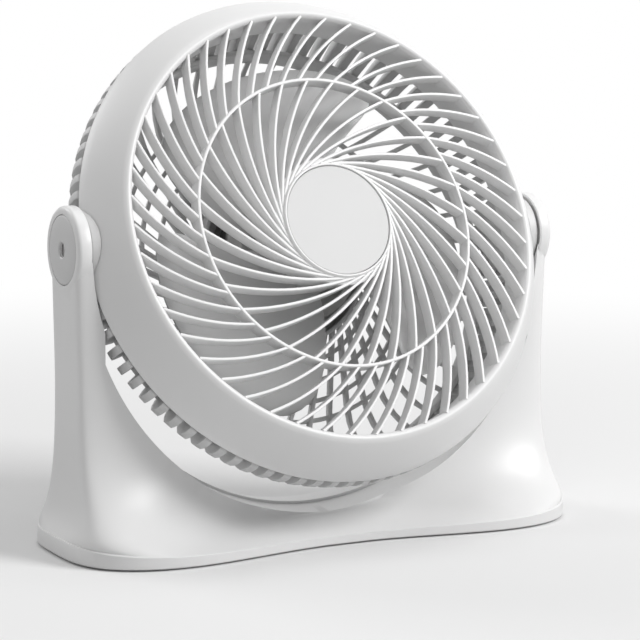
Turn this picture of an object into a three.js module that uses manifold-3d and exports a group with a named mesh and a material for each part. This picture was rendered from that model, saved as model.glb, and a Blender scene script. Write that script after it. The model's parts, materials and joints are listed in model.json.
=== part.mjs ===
// Air circulator fan: a tilting head with a three-blade fan between the two arms of a flared base.
// Millimetres, +Z up. The origin is on the floor, midway between the arms and below the tilt axis.
// The fan blows towards -Y. At rest the head is tipped back by HEAD_TILT.
import * as THREE from 'three';
import { mergeVertices } from 'three/addons/utils/BufferGeometryUtils.js';
import Module from 'manifold-3d';

const wasm = await Module();
wasm.setup();

const DEGREE = Math.PI / 180;

// ---- shared clearances and wall ----
const GAP = 0.3;                 // seat to seat
const RUN = 0.5;                 // beside a turning piece
const WALL = 2.4;                // moulded walls
const EDGE = 0.6;                // softened edges of turned pieces
const PAST = 1;                  // bores and tools run past the faces that they cut by this

// ---- head size, axial places measured ahead of the tilt axis ----
const BEZEL_RADIUS = 139.3;      // the widest ring of the head
const BEZEL_REAR_D = 8.5;
const HEAD_TILT = 23.3 * DEGREE;

// ---- space that the base leaves round the head ----
const SWING_CLEARANCE = 1.7;
const SWING_RADIUS = Math.hypot(BEZEL_RADIUS, BEZEL_REAR_D) + SWING_CLEARANCE;
const EAR_SEAT = SWING_RADIUS - GAP;            // flat inner face of each ear, at the tilt axis
const ARM_STEP = 5.5;                           // below the ears the arms stand closer by this
const ARM_INNER = EAR_SEAT - ARM_STEP;
const CRADLE_CLEARANCE = 8.7;                   // below the head
const CRADLE_SIDE_CLEARANCE = 4.2;              // beside the head
const CRADLE_RADIUS = BEZEL_RADIUS + CRADLE_CLEARANCE;
const CRADLE_SIDE = BEZEL_RADIUS + CRADLE_SIDE_CLEARANCE;
const CRADLE_DRAFT = 0.05;
const CRADLE_HALF_LENGTH = 80;
const CRADLE_FLOOR = 14;                        // height of the cradle's lowest line
const PIVOT_Z = CRADLE_RADIUS + CRADLE_FLOOR;

// ---- base ----
const RIM_Z = 7;                 // top of the foot's upright rim
const BASE_Z = 1;                // underside of the shells, carried by the rubber feet
const ARM_THICKNESS = 10.1;
const ARM_HALF_WIDTH = ARM_INNER + ARM_THICKNESS;
const FOOT_FLARE = 8.4;
const FOOT_HALF_WIDTH = ARM_HALF_WIDTH + FOOT_FLARE;
const FOOT_FRONT = 70;           // half depth at the two front lobes
const FOOT_REAR = 62;
const WAIST_FRONT = 50;          // half depth in the middle
const WAIST_REAR = 46;
const WAIST_POWER = 3;
const ARM_FRONT = 21;
const ARM_REAR = 17;
const NECK_HALF_DEPTH = 8;
const FLARE_SIDE = 14;           // heights over which the foot runs into the arms
const FLARE_DEPTH = 20;
const FLARE_WAIST = 3.8;
const FLARE_CORNER = 15;
const CORNER_FOOT = 3.5;         // superellipse powers of the plan outline
const CORNER_ARM = 5;
const ROOF_INSET = 1.6;
const CAVITY_TOP = PIVOT_Z - 70; // the arms are solid above this
const EAR_WALL = 6.5;
const EAR_OUTER = EAR_SEAT + EAR_WALL;
const EAR_RADIUS = 22.4;
const COVER_HALF_WIDTH = ARM_HALF_WIDTH - 5;
const COVER_TOP = PIVOT_Z - 42;
const LOFT_LEVELS = [BASE_Z, RIM_Z, 8.7, 11.5, 16, 24, 40, 75, PIVOT_Z];
const CAVITY_LEVELS = [BASE_Z + 2 * WALL, 11.5, 16, 24, 40, CAVITY_TOP];
const OUTLINE_STEPS = 32;
const CRADLE_STEPS = 48;

// ---- rubber feet ----
const PAD_RADIUS = 9;
const PAD_RECESS = 1.2;
const PAD_X = FOOT_HALF_WIDTH - 32;
const PAD_FRONT_Y = -42;
const PAD_REAR_Y = 36;

// ---- base screws ----
const BASE_SCREW_HIGH = [FOOT_HALF_WIDTH - 36, 45];
const BASE_SCREW_LOW = [FOOT_HALF_WIDTH - 84, 15];
const BASE_SCREW_PLACES = [BASE_SCREW_HIGH, BASE_SCREW_LOW].flatMap(([x, z]) => [[x, z], [-x, z]]);
const BASE_SCREW_SHANK = 1.7;
const BASE_SCREW_HEAD = 3.2;
const BASE_SCREW_HEAD_HEIGHT = 2.4;
const BASE_SCREW_SEAT_Y = 14;
const BASE_SCREW_TIP_Y = -12;
const BASE_BOSS_RADIUS = 5.5;

// ---- pivot caps, screws and washers ----
const CAP_RADIUS = 19.2;
const CAP_DEPTH = 1.6;
const CAP_DOME = 0.7;
const CAP_HOLE = 4;
const PIVOT_SEAT = 2.6;          // ear wall left under the screw head
const PIVOT_HEAD_RADIUS = 5.6;
const PIVOT_HEAD_HEIGHT = 1.7;
const PIVOT_SHANK = 3;
const BOSS_INNER = BEZEL_RADIUS - 15.3;
const PIVOT_TIP = BOSS_INNER + 3;
const WASHER_RADIUS = 16;
const WASHER_THICKNESS = 1.2;
const BOSS_RADIUS = 21;
const BOSS_CLEARANCE = 0.8;      // between a head boss and the rim of the ear's flat seat

// ---- front grille ----
const BEZEL_WIDTH = 17.3;
const LIP_RADIUS = BEZEL_RADIUS - BEZEL_WIDTH;
const LIP_D = 35.3;
const LIP_ROUND = 0.6;
const LIP_DROP = 2.3;
const BEZEL_BULGE = [[3, 15.5], [7.8, 23], [13.3, 31], [15.7, 34.2]]
  .map(([inset, d]) => [BEZEL_RADIUS - inset, d]);
const BEZEL_INNER = LIP_RADIUS - 3;
const BEZEL_INNER_D = 12;
const RIB_FRONT = 34.7;
const RIB_DEPTH = 7.5;
const RIB_WIDTH = 1.5;
const MID_RADIUS = 81.8;
const MID_WIDTH = 1.8;
const MID_DEPTH = 9;
const MID_PROUD = 0.2;
const HUB_RADIUS = 32.4;
const HUB_RING_WIDTH = 2.6;
const HUB_FRONT = 36.2;
const HUB_REAR = 22;
const HUB_CHAMFER = 2;
const HUB_STEP = 1;              // the ribs' roots lie below the rib fronts by this
const HUB_ROOT_RADIUS = 36.5;      // the inner ribs run into one another inside this
const INNER_RIBS = 32;
const OUTER_RIBS = 48;
const INNER_RIB_ARC = 161;
const OUTER_RIB_ARC = 126;
const OUTER_RIB_TANGENT = 33.3;  // radius that the outer rib arcs would touch
const RIB_MEETING = 10;          // degrees clockwise of the top where two ribs meet at the mid ring
const INNER_RIB_STEPS = 3;
const OUTER_RIB_STEPS = 2;
const RING_STEPS = 40;
const HUB_STEPS = 32;
const ROD_STEPS = 10;
const SMALL_RING_STEPS = 16;
const BOSS_STEPS = 24;

// ---- hub badge ----
const BADGE_REAR = 29;
const BADGE_FRONT = 35.6;

// ---- rear housing ----
const FIN_COUNT = 60;
const FIN_WIDTH = 3;
const ROOT = 1;                  // fins and bars run this far into the rings that carry them
const FIN_TOP = BEZEL_RADIUS - 1.7;
const FIN_SHOULDER = BEZEL_RADIUS - 7.3;
const FIN_SHOULDER_D = -15;
const JOINT_RING_INNER = BEZEL_RADIUS - 10.3;
const JOINT_RING_OUTER = BEZEL_RADIUS - 5.9;
const JOINT_RING_FRONT = 14;
const JOINT_RING_REAR = 1;
const BAND_OUTER = LIP_RADIUS - 0.5;
const BAND_INNER = BAND_OUTER - 3;
const BAND_FRONT = -17;
const BAND_REAR = -31;
const BAR_COUNT = 30;
const BAR_WIDTH = 2.6;
const BAR_HEIGHT = 4;
const BAR_TANGENT = 38;          // the straight bars would touch this circle
const BACK_D = -47;
const BACK_SLOPE_RADIUS = BAND_INNER - 10.5;
const BACK_SLOPE_D = -41.5;
const BACK_FLAT_RADIUS = BAND_INNER - 28.5;
const BACK_RINGS = [BACK_FLAT_RADIUS - 4];
const BACK_RING_WIDTH = 2.6;
const CUP_RADIUS = 50;
const CUP_FRONT = -32;
const CUP_BORE = 16;

// ---- grille screws ----
const GRILLE_SCREW_RADIUS = BEZEL_RADIUS - 10.7;
const GRILLE_SCREW_ANGLES = [45, 135, 225, 315];
const GRILLE_LUG_RADIUS = 5;
const GRILLE_LUG_REAR = 8;
const GRILLE_SCREW_SEAT = GRILLE_LUG_REAR + 2;
const GRILLE_POST_RADIUS = 3.8;
const GRILLE_POST_TOP = 20.5;
const GRILLE_SCREW_SHANK = 1.6;
const GRILLE_SCREW_HEAD = 2.9;
const GRILLE_SCREW_HEAD_HEIGHT = 2.2;
const GRILLE_SCREW_TIP = 18;

// ---- motor ----
const MOTOR_RADIUS = 41;
const BELL_WALL = 2;
const BELL_CORNER = 6;
const MOTOR_FRONT = -15;
const STATOR_FRONT = -24;
const STATOR_REAR = -35;
const MOTOR_REAR = BACK_D + WALL + GAP;
const STATOR_BORE = 23.5;
const STATOR_INSET = 1;          // the core is narrower than the bells
const WINDING_INNER = 25.5;
const WINDING_OUTER = 35;
const WINDING_FRONT_HEIGHT = 4.2;
const WINDING_REAR_HEIGHT = 3;
const SHAFT_RADIUS = 3;
const SHAFT_RUN = 0.08;
const BEARING_RADIUS = 8;
const BEARING_LENGTH = 5;
const BEARING_POCKET_WALL = 2.5;
const MOTOR_SCREW_CIRCLE = 31;
const MOTOR_SCREW_ANGLES = [45, 135, 225, 315];
const MOTOR_SCREW_SHANK = 1.5;
const MOTOR_SCREW_HEAD = 3;
const MOTOR_SCREW_HEAD_HEIGHT = 2;
const MOTOR_SCREW_TIP = 3.2;     // reach into the rear bell's foot
const BELL_FOOT_RADIUS = 4;

// ---- fan blade and nut ----
const BLADE_COUNT = 3;
const TIP_CLEARANCE = 17;        // between the blade tips and the guard
const BLADE_TIP = BEZEL_INNER - TIP_CLEARANCE;
const BLADE_ROOT = 26;
const FAN_HUB_RADIUS = 28;
const FAN_HUB_FRONT = 12;
const FAN_HUB_REAR = -12;
const FAN_HUB_CHAMFER = 4;
const BLADE_SWEEP = 92 * DEGREE; // angle that one blade spans
const BLADE_LEAN = 22 * DEGREE;  // the tip trails the root by this
const BLADE_RISE = 15;           // half the axial height of a blade at its tip
const BLADE_RISE_ROOT = 10;
const BLADE_MID_D = -3;
const BLADE_THICKNESS = 2;       // added to the edges' thickness in the middle of a blade
const BLADE_EDGE = 0.4;
const BLADE_STEPS = 5;
const BLADE_RINGS = 3;
const NUT_RADIUS = 8;
const NUT_HEIGHT = 5;
const NUT_SIDES = 6;

// ---- motor cover, switch, knob and cord inlet ----
const COVER_RADIUS = 49;
const COVER_BACK_RADIUS = 42;
const COVER_SHOULDER = 8;
const COVER_TAPER = 1;
const COVER_BACK_D = -70;
const COVER_WALL = 2.2;
const COVER_SCREW_X = 37;
const COVER_SCREW_ANGLES = [0, 180];
const COVER_SCREW_RECESS = 2.6;
const COVER_POST_RADIUS = 3.6;
const COVER_SCREW_SHANK = 1.4;
const COVER_SCREW_HEAD = 2.8;
const COVER_SCREW_HEAD_HEIGHT = 1.8;
const KNOB_RADIUS = 17;
const KNOB_LENGTH = 11;
const KNOB_GRIP_WIDTH = 7;
const KNOB_GRIP_DEPTH = 7;
const KNOB_STEM = 3;
const KNOB_STEM_LENGTH = 8;
const SWITCH_SIZE = 24;
const SWITCH_HEIGHT = 12;
const INLET_Y = -29;
const INLET_BORE = 3.6;
const INLET_OUTER = 5.4;
const INLET_FLANGE = 7.6;
const INLET_FLANGE_HEIGHT = 1.8;
const INLET_REACH = 2;           // past the inside of the cover's wall

// ---- materials ----
const paint = (color, roughness, metalness = 0) =>
  new THREE.MeshStandardMaterial({ color, roughness, metalness });
const WHITE = paint(0xe9e9e8, 0.42);
const LIGHT_GREY = paint(0xcfcfce, 0.45);
const RUBBER = paint(0x3a3a3a, 0.85);
const STEEL = paint(0xb4b6b8, 0.35, 0.9);
const LAMINATION = paint(0x77797c, 0.5, 0.7);
const COPPER = paint(0xb06a3b, 0.4, 0.8);
const BRONZE = paint(0xa98352, 0.45, 0.8);
const DARK_PLASTIC = paint(0x2b2c2e, 0.55);
const FIBRE = paint(0x8c8578, 0.8);

// ---- solids ----
function signedVolume(position, index) {
  const a = new THREE.Vector3(), b = new THREE.Vector3(), c = new THREE.Vector3();
  let sum = 0;
  for (let i = 0; i < index.length; i += 3) {
    a.fromArray(position, 3 * index[i]);
    b.fromArray(position, 3 * index[i + 1]);
    c.fromArray(position, 3 * index[i + 2]);
    sum += a.dot(b.cross(c)) / 6;
  }
  return sum;
}

function solid(geometry) {
  const bare = geometry.clone();
  for (const name of ['normal', 'uv']) bare.deleteAttribute(name);
  const merged = mergeVertices(bare, 1e-4);
  const position = merged.attributes.position.array;
  const index = Uint32Array.from(merged.index.array);
  if (signedVolume(position, index) < 0) index.reverse();
  return new wasm.Manifold(new wasm.Mesh({ numProp: 3, vertProperties: position, triVerts: index }));
}

function geometryOf(manifold) {
  const mesh = manifold.getMesh();
  const geometry = new THREE.BufferGeometry();
  geometry.setAttribute('position', new THREE.BufferAttribute(mesh.vertProperties, 3));
  geometry.setIndex(new THREE.BufferAttribute(mesh.triVerts, 1));
  geometry.computeVertexNormals();
  return geometry;
}

const join = (...pieces) => pieces.flat().reduce((sum, piece) => sum.add(piece));
const cut = (body, ...tools) => tools.flat().reduce((rest, tool) => rest.subtract(tool), body);

// A solid of revolution about Z from [radius, height] pairs that close on themselves.
// Its facets face the X and Y axes.
function turned(profile, steps = RING_STEPS) {
  const points = [...profile, profile[0]].map(([r, h]) => new THREE.Vector2(r, h));
  return solid(new THREE.LatheGeometry(points, steps, Math.PI / steps).rotateX(Math.PI / 2));
}

const tube = (inner, outer, low, high, steps) =>
  turned([[inner, low], [outer, low], [outer, high], [inner, high]], steps);

function rod(radius, low, high, steps = ROD_STEPS) {
  const geometry = new THREE.CylinderGeometry(radius, radius, high - low, steps).rotateX(Math.PI / 2);
  return solid(geometry.translate(0, 0, (low + high) / 2));
}

function block(low, high) {
  const size = high.map((value, axis) => value - low[axis]);
  const middle = high.map((value, axis) => (value + low[axis]) / 2);
  return solid(new THREE.BoxGeometry(...size).translate(...middle));
}

// A flat outline of [x, y] pairs, raised from z = low to z = high.
function plate(outline, low, high) {
  const shape = new THREE.Shape(outline.map(([x, y]) => new THREE.Vector2(x, y)));
  const geometry = new THREE.ExtrudeGeometry(shape, { depth: high - low, bevelEnabled: false });
  return solid(geometry.translate(0, 0, low));
}

// An outline of [radius, height] pairs as an upright plate of the given width, offset sideways.
function uprightPlate(outline, width, offset = 0) {
  const flat = plate(outline, -width / 2, width / 2);
  return flat.rotate([90, 0, 0]).translate([0, offset, 0]);
}

// Closed stack of equal rings of points: each ring is joined to the next and both ends are capped
// by strips across the ring. The two halves of a ring are split alike, so thin sections stay clear.
function lofted(rings) {
  const count = rings[0].length;
  const position = rings.flat().flatMap((point) => point.toArray());
  const index = [];
  rings.slice(1).forEach((_, level) => {
    for (let i = 0; i < count; i += 1) {
      const a = level * count + i;
      const b = level * count + (i + 1) % count;
      if (i < count / 2) index.push(a, b, b + count, a, b + count, a + count);
      else index.push(a, b, a + count, b, b + count, a + count);
    }
  });
  const last = (rings.length - 1) * count;
  for (let i = 0; i < count / 2 - 1; i += 1) {
    const j = count - 1 - i;
    index.push(i, j - 1, i + 1, i, j, j - 1);
    index.push(last + i, last + i + 1, last + j - 1, last + i, last + j - 1, last + j);
  }
  const geometry = new THREE.BufferGeometry();
  geometry.setAttribute('position', new THREE.Float32BufferAttribute(position, 3));
  geometry.setIndex(index);
  return solid(geometry);
}

const repeat = (piece, count) =>
  Array.from({ length: count }, (_, i) => piece.rotate([0, 0, (360 / count) * i]));

// ---- base ----
const decay = (z, height) => Math.exp(-Math.max(z - RIM_Z, 0) / height);
const run = (top, foot, z, height) => top + (foot - top) * decay(z, height);

function outlineAt(z, inset) {
  const ear = THREE.MathUtils.smoothstep(z, PIVOT_Z / 2, PIVOT_Z) * (EAR_OUTER - ARM_HALF_WIDTH);
  const halfWidth = run(ARM_HALF_WIDTH, FOOT_HALF_WIDTH, z, FLARE_SIDE) + ear - inset;
  const power = 2 / run(CORNER_ARM, CORNER_FOOT, z, FLARE_CORNER);
  const depths = (waist, arm, foot) =>
    [run(NECK_HALF_DEPTH, waist, z, FLARE_WAIST), run(arm, foot, z, FLARE_DEPTH)];
  const front = depths(WAIST_FRONT, ARM_FRONT, FOOT_FRONT);
  const rear = depths(WAIST_REAR, ARM_REAR, FOOT_REAR);
  return Array.from({ length: OUTLINE_STEPS }, (_, i) => {
    const angle = (2 * Math.PI * (i + 0.5)) / OUTLINE_STEPS;
    const across = Math.cos(angle), along = Math.sin(angle);
    const share = Math.sign(across) * Math.abs(across) ** power;
    const [waist, lobe] = along > 0 ? rear : front;
    const depth = lobe - (lobe - waist) * (1 - share * share) ** WAIST_POWER - inset;
    return [halfWidth * share, depth * Math.sign(along) * Math.abs(along) ** power];
  });
}

const atLevel = (z, outline) => outline.map(([x, y]) => new THREE.Vector3(x, y, z));

// The room in which the head swings: a drafted oval trough, the head's own sphere and the flat
// seats of the ears.
function cradleSpace(grow) {
  const end = CRADLE_RADIUS + grow + CRADLE_DRAFT * CRADLE_HALF_LENGTH;
  const profile = [[0, -CRADLE_HALF_LENGTH], [end, -CRADLE_HALF_LENGTH],
    [CRADLE_RADIUS + grow, 0], [end, CRADLE_HALF_LENGTH], [0, CRADLE_HALF_LENGTH]];
  const points = profile.map(([r, y]) => new THREE.Vector2(r, y));
  const narrowed = (CRADLE_SIDE + grow) / (CRADLE_RADIUS + grow);
  const trough = solid(new THREE.LatheGeometry(points, CRADLE_STEPS).scale(narrowed, 1, 1));
  const between = ARM_INNER + grow;
  const slot = block([-between, -FOOT_FRONT, -PIVOT_Z], [between, FOOT_FRONT, 2 * EAR_RADIUS]);
  const swing = solid(new THREE.SphereGeometry(SWING_RADIUS + grow, CRADLE_STEPS, CRADLE_STEPS / 2));
  const seat = rod(BOSS_RADIUS + BOSS_CLEARANCE + grow, -EAR_SEAT - grow, EAR_SEAT + grow, BOSS_STEPS);
  return join(trough.intersect(slot), swing, seat.rotate([0, 90, 0])).translate([0, 0, PIVOT_Z]);
}

function earDisc() {
  const disc = rod(EAR_RADIUS, ARM_INNER, EAR_OUTER, BOSS_STEPS).rotate([0, 90, 0]);
  return join(disc, disc.mirror([1, 0, 0])).translate([0, 0, PIVOT_Z]);
}

// Hollow foot, cradle and arms before they are parted into two mouldings.
function baseBody() {
  const outer = join(lofted(LOFT_LEVELS.map((z) => atLevel(z, outlineAt(z, 0)))), earDisc());
  const inner = CAVITY_LEVELS.map((z) => atLevel(z - WALL, outlineAt(z, ROOF_INSET)));
  const filled = cut(outer, cradleSpace(0));
  return { filled, hollow: cut(filled, cut(lofted(inner), cradleSpace(WALL))) };
}

const alongY = (piece, x, z) => piece.rotate([-90, 0, 0]).translate([x, 0, z]);

function baseScrew([x, z]) {
  const headLow = BASE_SCREW_SEAT_Y + GAP;
  const shank = rod(BASE_SCREW_SHANK, BASE_SCREW_TIP_Y, headLow + PAST);
  const head = rod(BASE_SCREW_HEAD, headLow, headLow + BASE_SCREW_HEAD_HEIGHT);
  return alongY(join(shank, head), x, z);
}

const pads = [[PAD_X, PAD_FRONT_Y], [-PAD_X, PAD_FRONT_Y], [PAD_X, PAD_REAR_Y], [-PAD_X, PAD_REAR_Y]];

function padRecesses() {
  return pads.map(([x, y]) =>
    rod(PAD_RADIUS + GAP, 0, BASE_Z + PAD_RECESS, SMALL_RING_STEPS).translate([x, y, 0]));
}

function earBores() {
  const capSeat = EAR_OUTER - CAP_DEPTH;
  const bores = join(
    rod(CAP_RADIUS + GAP, capSeat, EAR_OUTER + PAST, BOSS_STEPS),
    rod(PIVOT_HEAD_RADIUS + RUN, EAR_SEAT + PIVOT_SEAT, capSeat + GAP),
    rod(PIVOT_SHANK + RUN, EAR_SEAT - PAST, EAR_OUTER));
  const right = bores.rotate([0, 90, 0]).translate([0, 0, PIVOT_Z]);
  return [right, right.mirror([1, 0, 0])];
}

function baseShells() {
  const { filled, hollow } = baseBody();
  const coverZone = block([-COVER_HALF_WIDTH, GAP / 2, 0], [COVER_HALF_WIDTH, FOOT_FRONT, COVER_TOP]);
  const coverGap = block([-COVER_HALF_WIDTH - GAP, -GAP / 2, 0],
    [COVER_HALF_WIDTH + GAP, FOOT_FRONT, COVER_TOP + GAP]);
  const screwBoss = BASE_SCREW_PLACES.map(([x, z]) =>
    alongY(rod(BASE_BOSS_RADIUS, -FOOT_FRONT, FOOT_FRONT), x, z).intersect(filled));
  const bores = BASE_SCREW_PLACES.map(([x, z]) => alongY(join(
    rod(BASE_SCREW_SHANK + GAP, BASE_SCREW_TIP_Y - PAST, FOOT_FRONT),
    rod(BASE_SCREW_HEAD + GAP, BASE_SCREW_SEAT_Y, FOOT_FRONT)), x, z));
  const whole = cut(join(hollow, screwBoss), bores, padRecesses(), earBores());
  return { front: cut(whole, coverGap), cover: whole.intersect(coverZone) };
}

function rubberFoot([x, y]) {
  return rod(PAD_RADIUS, 0, BASE_Z + PAD_RECESS - GAP, SMALL_RING_STEPS).translate([x, y, 0]);
}

// ---- pivot pieces, made for the right-hand arm with their axis along Z ----
function pivotCap() {
  const low = EAR_OUTER - CAP_DEPTH + GAP;
  const rim = EAR_OUTER;
  return turned([[CAP_HOLE, low], [CAP_RADIUS, low], [CAP_RADIUS, rim - EDGE], [CAP_RADIUS - EDGE, rim],
    [CAP_RADIUS / 2, rim + CAP_DOME], [CAP_HOLE, rim + CAP_DOME]], BOSS_STEPS);
}

function pivotScrew() {
  const seat = EAR_SEAT + PIVOT_SEAT + GAP;
  const head = rod(PIVOT_HEAD_RADIUS, seat, seat + PIVOT_HEAD_HEIGHT);
  return join(rod(PIVOT_SHANK, PIVOT_TIP, seat + PAST), head);
}

const washerFoot = EAR_SEAT - GAP - WASHER_THICKNESS;
const bossEnd = washerFoot - GAP;
const washer = () =>
  tube(PIVOT_SHANK + RUN, WASHER_RADIUS, washerFoot, washerFoot + WASHER_THICKNESS, SMALL_RING_STEPS);

// ---- front grille, axis along Z ----
// Angle, in radians, by which an arc of the given radius has turned about the axis on its way
// from the circle that it touches out to radius r.
function arcTurn(r, arcRadius, tangentRadius) {
  const offset = arcRadius - tangentRadius;
  const cosine = (offset ** 2 + r ** 2 - arcRadius ** 2) / (2 * offset * r);
  return Math.PI - Math.acos(THREE.MathUtils.clamp(cosine, -1, 1));
}

function ribOutline(arcRadius, tangentRadius, innerRadius, outerRadius, steps) {
  const side = (shift) => Array.from({ length: steps + 1 }, (_, i) => {
    const share = i / steps;
    const radius = innerRadius + (outerRadius - innerRadius) * share ** 1.5;
    const clockwise = arcTurn(radius, arcRadius, tangentRadius);
    const x = radius * Math.sin(clockwise), y = radius * Math.cos(clockwise);
    const centreY = tangentRadius - arcRadius;
    const reach = (arcRadius + shift) / Math.hypot(x, y - centreY);
    return [x * reach, centreY + (y - centreY) * reach];
  });
  return [...side(-RIB_WIDTH / 2), ...side(RIB_WIDTH / 2).reverse()];
}

function ribs(count, arcRadius, tangentRadius, innerRadius, outerRadius, steps, meetingRadius) {
  const outline = ribOutline(arcRadius, tangentRadius, innerRadius, outerRadius, steps);
  const turn = arcTurn(meetingRadius, arcRadius, tangentRadius) / DEGREE - RIB_MEETING;
  return repeat(plate(outline, RIB_FRONT - RIB_DEPTH, RIB_FRONT).rotate([0, 0, turn]), count);
}

// Section of the bezel as [radius, axial place] pairs: its outer side, then its hollow rear side.
const bezelOutside = [[BEZEL_RADIUS, BEZEL_REAR_D], ...BEZEL_BULGE, [LIP_RADIUS - LIP_ROUND, LIP_D],
  [BEZEL_INNER, LIP_D - LIP_DROP], [BEZEL_INNER, BEZEL_INNER_D]];

function bezelProfile() {
  const hollow = BEZEL_BULGE.slice(0, 2).map(([r, d]) => [r - WALL, d - WALL / 2]).reverse();
  const web = BEZEL_INNER + WALL;
  return [...bezelOutside, [web, BEZEL_INNER_D], [web, LIP_D - LIP_DROP - WALL], ...hollow,
    [BEZEL_RADIUS - WALL, BEZEL_REAR_D]];
}

const atAngle = (piece, radius, angle) =>
  piece.translate([radius * Math.cos(angle * DEGREE), radius * Math.sin(angle * DEGREE), 0]);

function frontGrille() {
  const posts = GRILLE_SCREW_ANGLES.map((angle) =>
    atAngle(rod(GRILLE_POST_RADIUS, JOINT_RING_FRONT + GAP, GRILLE_POST_TOP), GRILLE_SCREW_RADIUS, angle));
  const bores = GRILLE_SCREW_ANGLES.map((angle) =>
    atAngle(rod(GRILLE_SCREW_SHANK + GAP, 0, GRILLE_SCREW_TIP + PAST), GRILLE_SCREW_RADIUS, angle));
  const bezel = cut(join(turned(bezelProfile()), posts), bores);
  const midFront = RIB_FRONT + MID_PROUD;
  const midRing = tube(MID_RADIUS - MID_WIDTH / 2, MID_RADIUS + MID_WIDTH / 2, midFront - MID_DEPTH,
    midFront, OUTER_RIBS);
  const ledge = RIB_FRONT - HUB_STEP;
  const recess = HUB_RADIUS - HUB_RING_WIDTH;
  const hub = turned([[0, HUB_REAR], [HUB_RADIUS - HUB_CHAMFER, HUB_REAR],
    [HUB_RADIUS, HUB_REAR + HUB_CHAMFER], [HUB_ROOT_RADIUS, RIB_FRONT - RIB_DEPTH], [HUB_ROOT_RADIUS, ledge],
    [HUB_RADIUS, ledge], [HUB_RADIUS, HUB_FRONT], [recess, HUB_FRONT], [recess, BADGE_REAR - GAP],
    [0, BADGE_REAR - GAP]], HUB_STEPS);
  const inner = ribs(INNER_RIBS, INNER_RIB_ARC, HUB_RADIUS, HUB_ROOT_RADIUS - PAST, MID_RADIUS,
    INNER_RIB_STEPS, MID_RADIUS);
  const outer = ribs(OUTER_RIBS, OUTER_RIB_ARC, OUTER_RIB_TANGENT, MID_RADIUS, BEZEL_INNER + PAST,
    OUTER_RIB_STEPS, MID_RADIUS);
  return join(bezel, midRing, hub, inner, outer);
}

function hubBadge() {
  const radius = HUB_RADIUS - HUB_RING_WIDTH - GAP;
  return turned([[0, BADGE_REAR], [radius, BADGE_REAR], [radius, BADGE_FRONT - EDGE],
    [radius - EDGE, BADGE_FRONT], [0, BADGE_FRONT]], HUB_STEPS);
}

// ---- rear housing, axis along Z ----
function finOutline() {
  const start = JOINT_RING_REAR + ROOT;
  return [[JOINT_RING_INNER + ROOT, start], [FIN_TOP, start], [FIN_SHOULDER, FIN_SHOULDER_D],
    [BAND_OUTER - ROOT, BAND_REAR + ROOT], [BAND_OUTER - ROOT, BAND_FRONT - 2 * ROOT]];
}

// Rear surface of the back grille: [radius, axial place] pairs from the band to the motor cup.
const BACK_CURVE = [[BAND_INNER + ROOT, BAND_REAR + ROOT], [BACK_SLOPE_RADIUS, BACK_SLOPE_D],
  [BACK_FLAT_RADIUS, BACK_D], [CUP_RADIUS - ROOT, BACK_D]];

function barOutline() {
  const away = ([radius, d]) => [Math.sqrt(radius ** 2 - BAR_TANGENT ** 2), d];
  const rear = BACK_CURVE.map(away);
  const front = BACK_CURVE.map(([radius, d]) => away([radius, d + BAR_HEIGHT])).reverse();
  return [...rear, ...front];
}

function backDepth(radius) {
  const next = BACK_CURVE.findIndex(([r]) => r <= radius);
  const [r0, d0] = BACK_CURVE[next - 1], [r1, d1] = BACK_CURVE[next];
  return d0 + ((d1 - d0) * (radius - r0)) / (r1 - r0);
}

function backRing(radius) {
  const half = BACK_RING_WIDTH / 2;
  const low = backDepth(radius) + ROOT;
  return tube(radius - half, radius + half, low, low + BAR_HEIGHT - 2 * ROOT, BAR_COUNT);
}

function motorCup() {
  const inside = CUP_RADIUS - WALL;
  const floor = BACK_D + WALL;
  return turned([[CUP_BORE, BACK_D], [CUP_RADIUS, BACK_D], [CUP_RADIUS, CUP_FRONT], [inside, CUP_FRONT],
    [inside, floor], [CUP_BORE, floor]], BAR_COUNT);
}

function pivotBosses() {
  const boss = rod(BOSS_RADIUS, BOSS_INNER, bossEnd, BOSS_STEPS).rotate([0, 90, 0]);
  return [boss, boss.mirror([1, 0, 0])];
}

// The room that the front grille takes inside a pivot boss.
function grilleRoom() {
  const grown = bezelOutside.slice(0, -1).map(([r, d], i) => [r + GAP, d + (i ? GAP : -GAP)]);
  const inside = BEZEL_INNER - GAP;
  return turned([...grown, [inside, LIP_D], [inside, BEZEL_REAR_D - GAP]]);
}

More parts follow.
